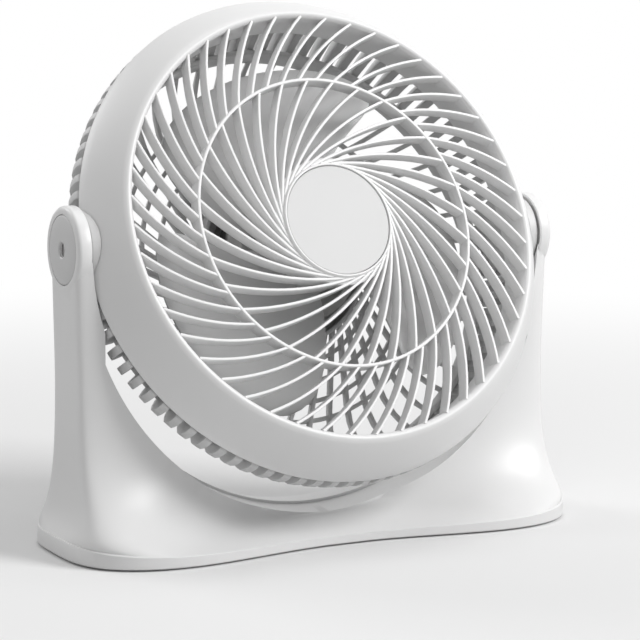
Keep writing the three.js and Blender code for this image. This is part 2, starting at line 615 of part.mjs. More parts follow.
function rearHousing() {
  const jointRing = tube(JOINT_RING_INNER, JOINT_RING_OUTER, JOINT_RING_REAR, JOINT_RING_FRONT,
    FIN_COUNT / 2);
  const fins = repeat(uprightPlate(finOutline(), FIN_WIDTH), FIN_COUNT);
  const band = tube(BAND_INNER, BAND_OUTER, BAND_REAR, BAND_FRONT, FIN_COUNT / 2);
  const bars = repeat(uprightPlate(barOutline(), BAR_WIDTH, BAR_TANGENT), BAR_COUNT);
  const lugs = GRILLE_SCREW_ANGLES.map((angle) =>
    atAngle(rod(GRILLE_LUG_RADIUS, GRILLE_LUG_REAR, JOINT_RING_FRONT), GRILLE_SCREW_RADIUS, angle));
  const grilleBores = GRILLE_SCREW_ANGLES.map((angle) => atAngle(join(
    rod(GRILLE_SCREW_SHANK + GAP, GRILLE_LUG_REAR - PAST, JOINT_RING_FRONT + PAST),
    rod(GRILLE_SCREW_HEAD + GAP, BACK_D, GRILLE_SCREW_SEAT)), GRILLE_SCREW_RADIUS, angle));
  const floorBore = (radius) => rod(radius + GAP, BACK_D - PAST, BACK_D + WALL + PAST);
  const motorBores = MOTOR_SCREW_ANGLES.map((angle) =>
    atAngle(floorBore(MOTOR_SCREW_SHANK), MOTOR_SCREW_CIRCLE, angle));
  const coverBores = COVER_SCREW_ANGLES.map((angle) =>
    atAngle(floorBore(COVER_SCREW_SHANK), COVER_SCREW_X, angle));
  const pivotBore = rod(PIVOT_SHANK + GAP, PIVOT_TIP - PAST, EAR_OUTER).rotate([0, 90, 0]);
  const pivotBores = [pivotBore, pivotBore.mirror([1, 0, 0])];
  const bosses = cut(join(pivotBosses()), grilleRoom());
  const body = join(jointRing, fins, band, bars, BACK_RINGS.map(backRing), motorCup(), lugs);
  return cut(join(body, bosses), grilleBores, motorBores, coverBores, pivotBores);
}

function grilleScrew(angle) {
  const seat = GRILLE_SCREW_SEAT - GAP;
  const piece = join(rod(GRILLE_SCREW_SHANK, seat - PAST, GRILLE_SCREW_TIP),
    rod(GRILLE_SCREW_HEAD, seat - GRILLE_SCREW_HEAD_HEIGHT, seat));
  return atAngle(piece, GRILLE_SCREW_RADIUS, angle);
}

// ---- motor, axis along Z ----
function frontBell() {
  const face = MOTOR_FRONT;
  const mouth = STATOR_FRONT + GAP;
  const inside = MOTOR_RADIUS - BELL_WALL;
  const pocket = BEARING_RADIUS + BEARING_POCKET_WALL;
  return turned([[BEARING_RADIUS + GAP, face], [MOTOR_RADIUS - BELL_CORNER, face],
    [MOTOR_RADIUS, face - BELL_CORNER], [MOTOR_RADIUS, mouth], [inside, mouth],
    [inside, face - BELL_CORNER - EDGE], [inside - BELL_CORNER + EDGE, face - BELL_WALL],
    [pocket, face - BELL_WALL], [pocket, face - BEARING_LENGTH],
    [BEARING_RADIUS + GAP, face - BEARING_LENGTH]], BOSS_STEPS);
}

function rearBell() {
  const face = MOTOR_REAR;
  const mouth = STATOR_REAR - GAP;
  const inside = MOTOR_RADIUS - BELL_WALL;
  const pocket = BEARING_RADIUS + BEARING_POCKET_WALL;
  const bell = turned([[BEARING_RADIUS + GAP, face], [MOTOR_RADIUS, face], [MOTOR_RADIUS, mouth],
    [inside, mouth], [inside, face + BELL_WALL], [pocket, face + BELL_WALL],
    [pocket, face + BEARING_LENGTH], [BEARING_RADIUS + GAP, face + BEARING_LENGTH]], BOSS_STEPS);
  const foot = rod(BELL_FOOT_RADIUS, face, face + MOTOR_SCREW_TIP + PAST);
  const bore = rod(MOTOR_SCREW_SHANK + GAP, face - PAST, face + MOTOR_SCREW_TIP + GAP);
  const atScrews = (piece) => MOTOR_SCREW_ANGLES.map((angle) => atAngle(piece, MOTOR_SCREW_CIRCLE, angle));
  return cut(join(bell, atScrews(foot)), atScrews(bore));
}

const stator = () => tube(STATOR_BORE, MOTOR_RADIUS - STATOR_INSET, STATOR_REAR, STATOR_FRONT, BOSS_STEPS);

function winding(low, high) {
  return tube(WINDING_INNER, WINDING_OUTER, low, high, SMALL_RING_STEPS);
}

const windingFront = () => winding(STATOR_FRONT + GAP, STATOR_FRONT + GAP + WINDING_FRONT_HEIGHT);
const windingRear = () => winding(STATOR_REAR - GAP - WINDING_REAR_HEIGHT, STATOR_REAR - GAP);
const rotor = () => tube(SHAFT_RADIUS + GAP, STATOR_BORE - RUN, STATOR_REAR, STATOR_FRONT, SMALL_RING_STEPS);

function bearing(low) {
  return tube(SHAFT_RADIUS + SHAFT_RUN, BEARING_RADIUS, low, low + BEARING_LENGTH, SMALL_RING_STEPS);
}

function motorScrew(angle) {
  const seat = BACK_D - GAP;
  const piece = join(rod(MOTOR_SCREW_SHANK, seat - PAST, MOTOR_REAR + MOTOR_SCREW_TIP),
    rod(MOTOR_SCREW_HEAD, seat - MOTOR_SCREW_HEAD_HEIGHT, seat));
  return atAngle(piece, MOTOR_SCREW_CIRCLE, angle);
}

// ---- fan ----
// One blade as a stack of curved sections from its root to its tip.
function blade() {
  const rings = Array.from({ length: BLADE_RINGS + 1 }, (_, ring) => {
    const out = ring / BLADE_RINGS;
    const radius = BLADE_ROOT + (BLADE_TIP - BLADE_ROOT) * out;
    const rise = BLADE_RISE_ROOT + (BLADE_RISE - BLADE_RISE_ROOT) * out;
    const side = (sign) => Array.from({ length: BLADE_STEPS + 1 }, (_, i) => {
      const share = i / BLADE_STEPS - 0.5;
      const ends = 1 - (2 * share) ** 4;
      const angle = share * BLADE_SWEEP - out * BLADE_LEAN;
      const height = BLADE_MID_D - 2 * rise * share + sign * (BLADE_EDGE + ends * BLADE_THICKNESS) / 2;
      return new THREE.Vector3(radius * Math.cos(angle), radius * Math.sin(angle), height);
    });
    return [...side(-1), ...side(1).reverse()];
  });
  return lofted(rings);
}

function fanBlade() {
  const bore = SHAFT_RADIUS + GAP;
  const inner = FAN_HUB_RADIUS - WALL;
  const sleeve = FAN_HUB_REAR + FAN_HUB_CHAMFER;
  const roof = FAN_HUB_FRONT - WALL;
  const hub = turned([[bore, FAN_HUB_FRONT], [bore, sleeve], [BEARING_RADIUS, sleeve], [BEARING_RADIUS, roof],
    [inner, roof - FAN_HUB_CHAMFER / 2], [inner, FAN_HUB_REAR], [FAN_HUB_RADIUS, FAN_HUB_REAR],
    [FAN_HUB_RADIUS, FAN_HUB_FRONT - FAN_HUB_CHAMFER],
    [FAN_HUB_RADIUS - FAN_HUB_CHAMFER, FAN_HUB_FRONT]], BOSS_STEPS);
  const inside = rod(inner, BACK_D, roof - FAN_HUB_CHAMFER / 2, BOSS_STEPS);
  return join(hub, repeat(cut(blade(), inside), BLADE_COUNT));
}

const shaft = () => rod(SHAFT_RADIUS, MOTOR_REAR + GAP, FAN_HUB_FRONT + NUT_HEIGHT + PAST, SMALL_RING_STEPS);

function bladeNut() {
  const low = FAN_HUB_FRONT + GAP;
  const bore = rod(SHAFT_RADIUS + GAP, low - PAST, low + NUT_HEIGHT + PAST, SMALL_RING_STEPS);
  return cut(rod(NUT_RADIUS, low, low + NUT_HEIGHT, NUT_SIDES), bore);
}

// ---- motor cover, switch, knob and cord inlet, axis along Z, facing -Z ----
function motorCover() {
  const mouth = BACK_D - GAP;
  const shoulder = COVER_BACK_D + COVER_SHOULDER;
  const shell = turned([[0, COVER_BACK_D], [COVER_BACK_RADIUS, COVER_BACK_D],
    [COVER_RADIUS - COVER_TAPER, shoulder], [COVER_RADIUS, mouth], [COVER_RADIUS - COVER_WALL, mouth],
    [COVER_RADIUS - COVER_TAPER - COVER_WALL, shoulder],
    [COVER_BACK_RADIUS - COVER_TAPER, COVER_BACK_D + COVER_WALL], [0, COVER_BACK_D + COVER_WALL]], HUB_STEPS);
  const posts = COVER_SCREW_ANGLES.map((angle) =>
    atAngle(rod(COVER_POST_RADIUS, COVER_BACK_D + COVER_WALL / 2, mouth), COVER_SCREW_X, angle));
  const low = COVER_BACK_D - PAST;
  const bore = join(rod(COVER_SCREW_SHANK + GAP, low, mouth + PAST),
    rod(COVER_SCREW_HEAD + GAP, low, COVER_BACK_D + COVER_SCREW_RECESS));
  const bores = COVER_SCREW_ANGLES.map((angle) => atAngle(bore, COVER_SCREW_X, angle));
  const wallHole = (radius) => rod(radius, low, COVER_BACK_D + COVER_WALL + PAST);
  const stemHole = wallHole(KNOB_STEM + RUN);
  const inletHole = wallHole(INLET_OUTER + GAP).translate([0, INLET_Y, 0]);
  return cut(join(shell, posts), bores, stemHole, inletHole);
}

function coverScrew(angle) {
  const seat = COVER_BACK_D + COVER_SCREW_RECESS - GAP;
  const piece = join(rod(COVER_SCREW_SHANK, seat - PAST, BACK_D + WALL - GAP),
    rod(COVER_SCREW_HEAD, seat - COVER_SCREW_HEAD_HEIGHT, seat));
  return atAngle(piece, COVER_SCREW_X, angle);
}

function speedSwitch() {
  const rear = COVER_BACK_D + COVER_WALL + GAP;
  const half = SWITCH_SIZE / 2;
  const box = block([-half, -half, rear], [half, half, rear + SWITCH_HEIGHT]);
  return cut(box, rod(KNOB_STEM + RUN, rear - PAST, rear + KNOB_STEM_LENGTH - PAST));
}

function speedKnob() {
  const front = COVER_BACK_D - GAP;
  const rear = front - KNOB_LENGTH;
  const face = rear + KNOB_GRIP_DEPTH;
  const inside = KNOB_RADIUS - EDGE;
  const disc = turned([[0, face], [inside, face], [KNOB_RADIUS, face + EDGE], [KNOB_RADIUS, front],
    [0, front]], BOSS_STEPS);
  const half = KNOB_GRIP_WIDTH / 2;
  const grip = block([-half, -inside, rear], [half, inside, front - PAST])
    .intersect(rod(inside, rear, front, BOSS_STEPS));
  return join(disc, grip, rod(KNOB_STEM, front - PAST, front + KNOB_STEM_LENGTH));
}

function cordInlet() {
  const outside = COVER_BACK_D - GAP;
  const rear = outside - INLET_FLANGE_HEIGHT;
  const front = outside + COVER_WALL + INLET_REACH;
  return turned([[INLET_BORE, rear], [INLET_FLANGE, rear], [INLET_FLANGE, outside], [INLET_OUTER, outside],
    [INLET_OUTER, front], [INLET_BORE, front]], SMALL_RING_STEPS).translate([0, INLET_Y, 0]);
}

// ---- assembly ----
const fan = new THREE.Group();
const head = new THREE.Group();
head.position.set(0, 0, PIVOT_Z);
head.rotation.x = Math.PI / 2 - HEAD_TILT;
fan.add(head);

function place(parent, name, piece, material) {
  const mesh = new THREE.Mesh(geometryOf(piece), material);
  mesh.name = name;
  parent.add(mesh);
  return mesh;
}

// Puts a piece that is made on the Z axis on the tilt axis, at the right or the left arm.
function placeAtArm(parent, name, piece, material, side, height) {
  const mesh = place(parent, name, piece, material);
  mesh.position.z = height;
  mesh.rotation.y = (side * Math.PI) / 2;
}

const shells = baseShells();
place(fan, 'base_front_shell', shells.front, WHITE);
place(fan, 'base_rear_cover', shells.cover, WHITE);
const FOOT_NAMES = ['front_right', 'front_left', 'rear_right', 'rear_left'];
pads.forEach((spot, i) => place(fan, `rubber_foot_${FOOT_NAMES[i]}`, rubberFoot(spot), RUBBER));
BASE_SCREW_PLACES.forEach((spot, i) => place(fan, `base_screw_${i + 1}`, baseScrew(spot), STEEL));

for (const [name, side] of [['right', 1], ['left', -1]]) {
  placeAtArm(fan, `pivot_cap_${name}`, pivotCap(), LIGHT_GREY, side, PIVOT_Z);
  placeAtArm(head, `pivot_screw_${name}`, pivotScrew(), STEEL, side, 0);
  placeAtArm(head, `friction_washer_${name}`, washer(), FIBRE, side, 0);
}

place(head, 'front_grille', frontGrille(), WHITE);
place(head, 'hub_badge', hubBadge(), WHITE);
place(head, 'rear_housing', rearHousing(), WHITE);
GRILLE_SCREW_ANGLES.forEach((angle, i) => place(head, `grille_screw_${i + 1}`, grilleScrew(angle), STEEL));

place(head, 'motor_front_bell', frontBell(), STEEL);
place(head, 'motor_rear_bell', rearBell(), STEEL);
place(head, 'motor_stator', stator(), LAMINATION);
place(head, 'motor_winding_front', windingFront(), COPPER);
place(head, 'motor_winding_rear', windingRear(), COPPER);
place(head, 'bearing_front', bearing(MOTOR_FRONT - BEARING_LENGTH), BRONZE);
place(head, 'bearing_rear', bearing(MOTOR_REAR), BRONZE);
MOTOR_SCREW_ANGLES.forEach((angle, i) => place(head, `motor_screw_${i + 1}`, motorScrew(angle), STEEL));

place(head, 'fan_blade', fanBlade(), LIGHT_GREY);
place(head, 'blade_nut', bladeNut(), DARK_PLASTIC);
place(head, 'motor_shaft', shaft(), STEEL);
place(head, 'motor_rotor', rotor(), LAMINATION);

place(head, 'motor_cover', motorCover(), WHITE);
COVER_SCREW_ANGLES.forEach((angle, i) => place(head, `cover_screw_${i + 1}`, coverScrew(angle), STEEL));
place(head, 'speed_switch', speedSwitch(), DARK_PLASTIC);
place(head, 'speed_knob', speedKnob(), LIGHT_GREY);
place(head, 'cord_inlet', cordInlet(), DARK_PLASTIC);

export default fan;
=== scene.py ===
"""Air circulator fan: a round tilting head between the two arms of a flared white base.

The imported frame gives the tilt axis, the blowing direction and the bodies that the pieces ride on.
Sizes are in millimetres until a piece is finished, when it goes to its place in metres.
"""
import json
import math

import bmesh
import bpy
from mathutils import Matrix, Vector


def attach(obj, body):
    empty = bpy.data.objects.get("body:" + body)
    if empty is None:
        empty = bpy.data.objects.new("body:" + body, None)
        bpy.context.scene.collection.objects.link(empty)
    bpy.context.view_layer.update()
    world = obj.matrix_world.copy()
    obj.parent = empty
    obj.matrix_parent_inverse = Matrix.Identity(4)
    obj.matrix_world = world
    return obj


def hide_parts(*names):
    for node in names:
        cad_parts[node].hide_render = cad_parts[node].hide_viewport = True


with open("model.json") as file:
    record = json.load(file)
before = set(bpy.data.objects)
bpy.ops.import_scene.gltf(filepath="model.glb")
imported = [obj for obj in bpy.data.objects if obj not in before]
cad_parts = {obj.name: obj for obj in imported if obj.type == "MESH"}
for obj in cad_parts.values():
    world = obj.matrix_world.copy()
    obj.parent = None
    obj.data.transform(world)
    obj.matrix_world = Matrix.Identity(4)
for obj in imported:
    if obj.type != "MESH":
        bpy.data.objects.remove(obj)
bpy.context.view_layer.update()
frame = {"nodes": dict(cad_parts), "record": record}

# ---- places taken from the frame ----
METRES = Matrix.Scale(0.001, 4)
JOINTS = {joint["name"]: joint for joint in frame["record"]["behaviour"]["joints"]}
PIVOT_Z = JOINTS["head_tilt"]["pos_m"][2] * 1000
BLOWING = Vector(JOINTS["fan_spin"]["axis"])
STAND = Matrix.Identity(4)
HEAD = Matrix.Translation((0, 0, PIVOT_Z)) @ Matrix.Rotation(math.acos(BLOWING.z), 4, "X")
ALONG_X = Matrix.Rotation(math.pi / 2, 4, "Y")
TURN = 2 * math.pi
TINY = 1e-5

# ---- base ----
RIM_Z = 7
BASE_Z = 1
FOOT_HALF_WIDTH = 153.96
FOOT_FRONT = 70
FOOT_REAR = 62
WAIST_FRONT = 50
WAIST_REAR = 46
WAIST_POWER = 3
ARM_HALF_WIDTH = 145.56
ARM_FRONT = 22.5
ARM_REAR = 21
NECK_HALF_DEPTH = 8
FLARE_SIDE = 14
FLARE_DEPTH = 20
FLARE_WAIST = 3.8
FLARE_CORNER = 30
RIM_LEDGE = 1.1
RIM_LIFT_ENDS = 3.6
RIM_DROP_MIDDLE = 1.4
CORNER_FOOT = 3.5
CORNER_ARM = 12
OUTLINE_STEPS = 192
LOFT_STEPS = 46
LOFT_POWER = 2.1
CRADLE_RADIUS = 148
CRADLE_SIDE = 142.1
CRADLE_DRAFT = 0.05
CRADLE_HALF_LENGTH = 80
FRONT_STEP = 0.5                 # the front shell's cradle lies this much below the cutter
COVER_STEP = 0.9                 # the rear cover's cradle stands this much above it
ARM_INNER = 132.2
SWING_RADIUS = 140.5
EAR_SEAT = 140.96
EAR_OUTER = 147
EAR_RADIUS = 23.2
EAR_ROUND = 2.2
EAR_INNER = 139.7
SEAT_RADIUS = 21.8
COVER_HALF_WIDTH = 140.56
COVER_TOP = PIVOT_Z - 42
SEAM = 0.7
BASE_SCREWS = [(117.96, 45), (69.96, 15), (-69.96, 15), (-117.96, 45)]
BASE_SCREW_BORE = 3.5
BASE_SCREW_SEAT_Y = 14
BASE_FLOOR_EDGE = 0.5
RIM_EDGE = 0.4

# ---- pivots ----
CAP_RADIUS = 18.4
CAP_DEPTH = 1.6
CAP_DOME = 0.7
CAP_HOLE = 4
CAP_CLEARANCE = 0.3
PIVOT_SCREW_BORE = 3.5
PIVOT_SCREW_HEAD_BORE = 6.1
PIVOT_SCREW_WALL = 2.6
BOSS_RADIUS = 21
BOSS_INNER = 124
BOSS_END = 139.16

# ---- feet ----
PAD_RADIUS = 9
PAD_PLACES = {"front_right": (121.96, -42), "front_left": (-121.96, -42),
              "rear_right": (121.96, 36), "rear_left": (-121.96, 36)}
PAD_TOP = 1.9
PAD_RECESS_TOP = 2.2
PAD_CLEARANCE = 0.3
PAD_GROOVES = [(2.5, 3.3), (5.4, 6.2)]
PAD_GROOVE_DEPTH = 0.4

# ---- front guard: radii, and depths ahead of the tilt axis ----
BEZEL = [(139.3, 8.5, 0.5), (138.6, 11.2), (137, 14.6), (133.8, 20), (129.9, 26), (126.2, 31),
         (123.8, 34, 1.2), (121.7, 35.3, 0.7), (120.1, 34.7, 0.5), (119, 33, 0.5), (119, 12, 0.3),
         (121.2, 12, 0.3), (121.2, 31), (124.4, 29.5), (128.4, 24), (131.9, 18.4), (134.8, 13.4),
         (136.4, 10.6), (136.9, 8.5, 0.4)]
BEZEL_INNER = 119
RIB_FRONT = 34.7
RIB_DEPTH = 8
RIB_WIDTH = 1.5
RIB_ROOT_WIDTH = 1.9
INNER_RIBS = 32
OUTER_RIBS = 48
INNER_ARC = 161
OUTER_ARC = 126
OUTER_TANGENT = 33.3
RIB_MEETING = math.radians(10)
MID_RADIUS = 81.8
MID_WIDTH = 1.8
MID_DEPTH = 9
HUB_RADIUS = 32.5
HUB_RING = 1.2
HUB_ROOT = 36.5
HUB_FRONT = 36.2
HUB_REAR = 22
BADGE_FRONT = 35.5
BADGE_REAR = 29
BADGE_GAP = 0.3
INNER_RIB_STEPS = 18
OUTER_RIB_STEPS = 8

# ---- rear guard ----
FIN_COUNT = 90
FIN_WIDTH = 4.5
FIN_OUTLINE = [(130, 5.6), (138.8, 5.6, 1.5), (139.5, 1), (139.2, -5), (137.8, -11), (134.4, -18), (129, -25),
               (122.6, -31, 1.2), (118.8, -30), (120.6, -23), (124.3, -15.6), (127.4, -8), (129.3, 0)]
JOINT_RING = [(129, 1), (133.4, 1, 0.8), (133.4, 14), (129, 14)]
BAND = [(118.5, -31, 0.8), (121.5, -31, 0.8), (121.5, -17, 0.8), (118.5, -17, 0.8)]
BAR_COUNT = 45
BAR_WIDTH = 2.6
BAR_HEIGHT = 4
BAR_TANGENT = 38
BACK_CURVE = [(119.5, -30.2), (114, -36.6), (108, -41.5), (99.5, -45.3), (90, -47), (49, -47)]
BACK_RINGS = [93, 82, 71, 60]
RING_WIDTH = 2.4
CUP = [(16, -47, 0.5), (50, -47, 1), (50, -32, 0.8), (47.6, -32, 0.6), (47.6, -44.6), (16, -44.6, 0.5)]
BEZEL_ROOM = [(118.7, 8.2), (139.6, 8.2), (137.3, 14.9), (134.1, 20.3), (130.2, 26.3), (118.7, 36)]
FIN_ROUND = 1.4
BAR_ROUND = 0.5

# ---- blade wheel ----
BLADES = 3
BLADE_TIP = 101.2
BLADE_ROOT = 26
BLADE_SWEEP = math.radians(92)
BLADE_LEAN = math.radians(22)
BLADE_RISE = 15
BLADE_RISE_ROOT = 10
BLADE_MID = -3
BLADE_CAMBER = 1.2
BLADE_THICKNESS = 1.8
BLADE_TIP_ROUND = 0.16
BLADE_END_EXPONENT = 6
BLADE_END_ROUND = 0.06
BLADE_EDGE = 0.7
WHEEL_HUB = [(0, 12), (3.2, 12), (20, 11.6), (28, 8, 3), (28, -12, 0.5), (25.6, -12), (25.6, 5.6), (8, 9.6),
             (0, 9.6)]

# ---- rear cap, dial and cord inlet ----
CAP_BACK = -70
REAR_CAP = [(0, -70), (42, -70, 2.5), (48, -62, 3), (49, -47.3, 0.5), (46.8, -47.3), (45.8, -61), (41, -67.8),
            (0, -67.8)]
VENT_COUNT = 60
VENT_BAND = (-60, -48)
VENT_WALL_RADIUS = 47.6
VENT_LEAST_AREA = 20
VENT_FRAME = 0.9
VENT_DEPTH = 1.4
DIAL_RADIUS = 17
DIAL_FACE = -74.3
DIAL_FOOT = -70.3
GRIP_REAR = -81.3
GRIP_WIDTH = 7
GRIP_TAPER = 0.8
DIAL_STEM = 3.4
DIAL_STEM_LENGTH = 8
POINTER_HALF_WIDTH = 0.6
POINTER_LENGTH = 9
MARK_RADIUS = 23
MARK_SIZE = 5
MARK_SPREAD = math.radians(45)
MARK_COUNT = 4
MARK_THICKNESS = 0.06
INLET_Y = -29
INLET = [(3.6, -72.1, 0.3), (7.6, -72.1, 0.8), (7.6, -70.3, 0.2), (5.4, -70.3), (5.4, -66.1), (3.6, -66.1)]

# ---- how finely round pieces are turned ----
SMALL_STEPS = 64
MIDDLE_STEPS = 96
STEPS = 128
FINE_STEPS = 240


# ---- shaping ----
def section(points):
    """A flat face in the XZ plane; a third value on a point rounds that corner."""
    bm = bmesh.new()
    corners = [bm.verts.new((point[0], 0, point[1])) for point in points]
    bm.faces.new(corners)
    rounded = {}
    for corner, point in zip(corners, points):
        if len(point) > 2:
            rounded.setdefault(point[2], []).append(corner)
    for radius, verts in rounded.items():
        bmesh.ops.bevel(bm, geom=verts, offset=radius, offset_type="OFFSET", segments=3, profile=0.5,
                        affect="VERTICES", material=-1)
    return bm


def closed(bm):
    """Fills open ends, merges doubles and turns every face outwards."""
    bmesh.ops.remove_doubles(bm, verts=bm.verts[:], dist=0.001)
    bmesh.ops.holes_fill(bm, edges=bm.edges[:], sides=0)
    bmesh.ops.recalc_face_normals(bm, faces=bm.faces[:])
    return bm


def turned(points, steps=STEPS):
    """A solid of revolution about Z from a closed section."""
    bm = section(points)
    bmesh.ops.delete(bm, geom=bm.faces[:], context="FACES_ONLY")
    on_axis = [edge for edge in bm.edges if all(abs(vert.co.x) < TINY for vert in edge.verts)]
    if on_axis:
        bmesh.ops.delete(bm, geom=on_axis, context="EDGES")
    bmesh.ops.spin(bm, geom=bm.verts[:] + bm.edges[:], cent=(0, 0, 0), axis=(0, 0, 1), angle=TURN,
                   steps=steps, use_merge=True)
    return closed(bm)


def upright(points, width, soft, offset=0, segments=1):
    """A plate of the given width from an XZ outline, with softened edges."""
    bm = section(points)
    bmesh.ops.translate(bm, verts=bm.verts[:], vec=(0, offset - width / 2, 0))
    raised = bmesh.ops.extrude_face_region(bm, geom=bm.faces[:])["geom"]
    far_side = [item for item in raised if isinstance(item, bmesh.types.BMVert)]
    bmesh.ops.translate(bm, verts=far_side, vec=(0, width, 0))
    closed(bm)
    if soft:
        bmesh.ops.bevel(bm, geom=bm.edges[:], offset=soft, offset_type="OFFSET", segments=segments,
                        profile=0.5, affect="EDGES", clamp_overlap=True, material=-1)
    return bm


def around(bm, count):
    """The same piece repeated evenly about Z."""
    bmesh.ops.spin(bm, geom=bm.verts[:] + bm.edges[:] + bm.faces[:], cent=(0, 0, 0), axis=(0, 0, 1),
                   angle=TURN * (count - 1) / count, steps=count - 1, use_duplicate=True)
    return bm


def moved(bm, matrix):
    """The piece after a turn, shift or scaling."""
    bmesh.ops.transform(bm, matrix=matrix, verts=bm.verts[:])
    return bm


def joined(*parts):
    """Several pieces as one mesh."""
    whole = bmesh.new()
    for part in parts:
        mesh = bpy.data.meshes.new("part")
        part.to_mesh(mesh)
        part.free()
        whole.from_mesh(mesh)
        bpy.data.meshes.remove(mesh)
    return whole


def rod(radius, low, high, steps=SMALL_STEPS):
    """A plain cylinder along Z."""
    return turned([(0, low), (radius, low), (radius, high), (0, high)], steps)


def box(low, high):
    """A block between two opposite corners."""
    bm = bmesh.new()
    bmesh.ops.create_cube(bm, size=1)
    size = [b - a for a, b in zip(low, high)]
    middle = [(a + b) / 2 for a, b in zip(low, high)]
    return moved(bm, Matrix.Translation(middle) @ Matrix.Diagonal((*size, 1)))


def as_object(bm, name):
    """The mesh as an object at the origin."""
    mesh = bpy.data.meshes.new(name)
    bm.to_mesh(mesh)
    bm.free()
    made = bpy.data.objects.new(name, mesh)
    bpy.context.collection.objects.link(made)
    return made


def carved(bm, tool, operation="DIFFERENCE"):
    """The piece with the tool cut away, joined to it, or only what the two share."""
    body = as_object(bm, "carved_body")
    cutter = as_object(tool, "carving_tool")
    carve = body.modifiers.new("carve", "BOOLEAN")
    carve.operation = operation
    carve.solver = "EXACT"
    carve.object = cutter
    graph = bpy.context.evaluated_depsgraph_get()
    result = bpy.data.meshes.new_from_object(body.evaluated_get(graph))
    out = bmesh.new()
    out.from_mesh(result)
    for piece in (body, cutter):
        mesh = piece.data
        bpy.data.objects.remove(piece)
        bpy.data.meshes.remove(mesh)
    bpy.data.meshes.remove(result)
    bmesh.ops.remove_doubles(out, verts=out.verts[:], dist=0.005)
    return out


def finished(name, bm, place, body, material, nodes=(), sharp=32):
    """Puts a piece at its place in metres, gives it its material, ties it to its body and hides the CAD nodes
    it stands in for.
    """
    moved(bm, METRES @ place)
    bmesh.ops.recalc_face_normals(bm, faces=bm.faces[:])
    made = as_object(bm, name)
    made.data.polygons.foreach_set("use_smooth", [True] * len(made.data.polygons))
    made.data.set_sharp_from_angle(angle=math.radians(sharp))
    made.data.materials.append(material)
    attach(made, body)
    if nodes:
        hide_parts(*nodes)
    return made


# ---- materials ----
SOCKET_KINDS = {"Colour": "NodeSocketColor", "Shaded colour": "NodeSocketColor",
                "Worn colour": "NodeSocketColor", "Streaks": "NodeSocketVector", "Normal": "NodeSocketVector"}


def surface_group(name, inputs):
    """An empty node group with these inputs, and a colour, a roughness and a normal as outputs."""
    group = bpy.data.node_groups.new(name, "ShaderNodeTree")
    for socket in inputs:
        kind = SOCKET_KINDS.get(socket, "NodeSocketFloat")
        group.interface.new_socket(name=socket, in_out="INPUT", socket_type=kind)
    for socket in ("Colour", "Roughness", "Normal"):
        kind = SOCKET_KINDS.get(socket, "NodeSocketFloat")
        group.interface.new_socket(name=socket, in_out="OUTPUT", socket_type=kind)
    return group


def moulded_surface_group():
    """Moulded plastic or rubber: fine grain, slow tone changes and dust in the creases."""
    group = surface_group("Moulded surface", ("Colour", "Shaded colour", "Roughness", "Roughness change",
                                              "Grain scale", "Grain height", "Dust"))
    nodes, links = group.nodes, group.links
    given = nodes.new("NodeGroupInput")
    put = nodes.new("NodeGroupOutput")
    place = nodes.new("ShaderNodeTexCoord")

    slow = nodes.new("ShaderNodeTexNoise")
    slow.inputs["Scale"].default_value = 16
    slow.inputs["Detail"].default_value = 3
    links.new(place.outputs["Object"], slow.inputs["Vector"])
    tone = nodes.new("ShaderNodeMapRange")
    tone.inputs["From Min"].default_value = 0.35
    tone.inputs["From Max"].default_value = 0.75
    links.new(slow.outputs["Fac"], tone.inputs["Value"])

    shape = nodes.new("ShaderNodeNewGeometry")
    crease = nodes.new("ShaderNodeMapRange")
    crease.inputs["From Min"].default_value = 0.49
    crease.inputs["From Max"].default_value = 0.42
    links.new(shape.outputs["Pointiness"], crease.inputs["Value"])
    dust = nodes.new("ShaderNodeMath")
    dust.operation = "MULTIPLY"
    links.new(crease.outputs["Result"], dust.inputs[0])
    links.new(given.outputs["Dust"], dust.inputs[1])
    soil = nodes.new("ShaderNodeMath")
    soil.operation = "MULTIPLY_ADD"
    soil.use_clamp = True
    soil.inputs[1].default_value = 0.35
    links.new(tone.outputs["Result"], soil.inputs[0])
    links.new(dust.outputs["Value"], soil.inputs[2])

    blend = nodes.new("ShaderNodeMix")
    blend.data_type = "RGBA"
    links.new(soil.outputs["Value"], blend.inputs["Factor"])
    links.new(given.outputs["Colour"], blend.inputs["A"])
    links.new(given.outputs["Shaded colour"], blend.inputs["B"])
    links.new(blend.outputs["Result"], put.inputs["Colour"])

    gloss = nodes.new("ShaderNodeMath")
    gloss.operation = "MULTIPLY_ADD"
    links.new(soil.outputs["Value"], gloss.inputs[0])
    links.new(given.outputs["Roughness change"], gloss.inputs[1])
    links.new(given.outputs["Roughness"], gloss.inputs[2])
    links.new(gloss.outputs["Value"], put.inputs["Roughness"])

    grain = nodes.new("ShaderNodeTexNoise")
    grain.inputs["Detail"].default_value = 2
    links.new(place.outputs["Object"], grain.inputs["Vector"])
    links.new(given.outputs["Grain scale"], grain.inputs["Scale"])
    bump = nodes.new("ShaderNodeBump")
    bump.inputs["Distance"].default_value = 0.0002
    links.new(given.outputs["Grain height"], bump.inputs["Strength"])
    links.new(grain.outputs["Fac"], bump.inputs["Height"])
    links.new(bump.outputs["Normal"], put.inputs["Normal"])
    return group


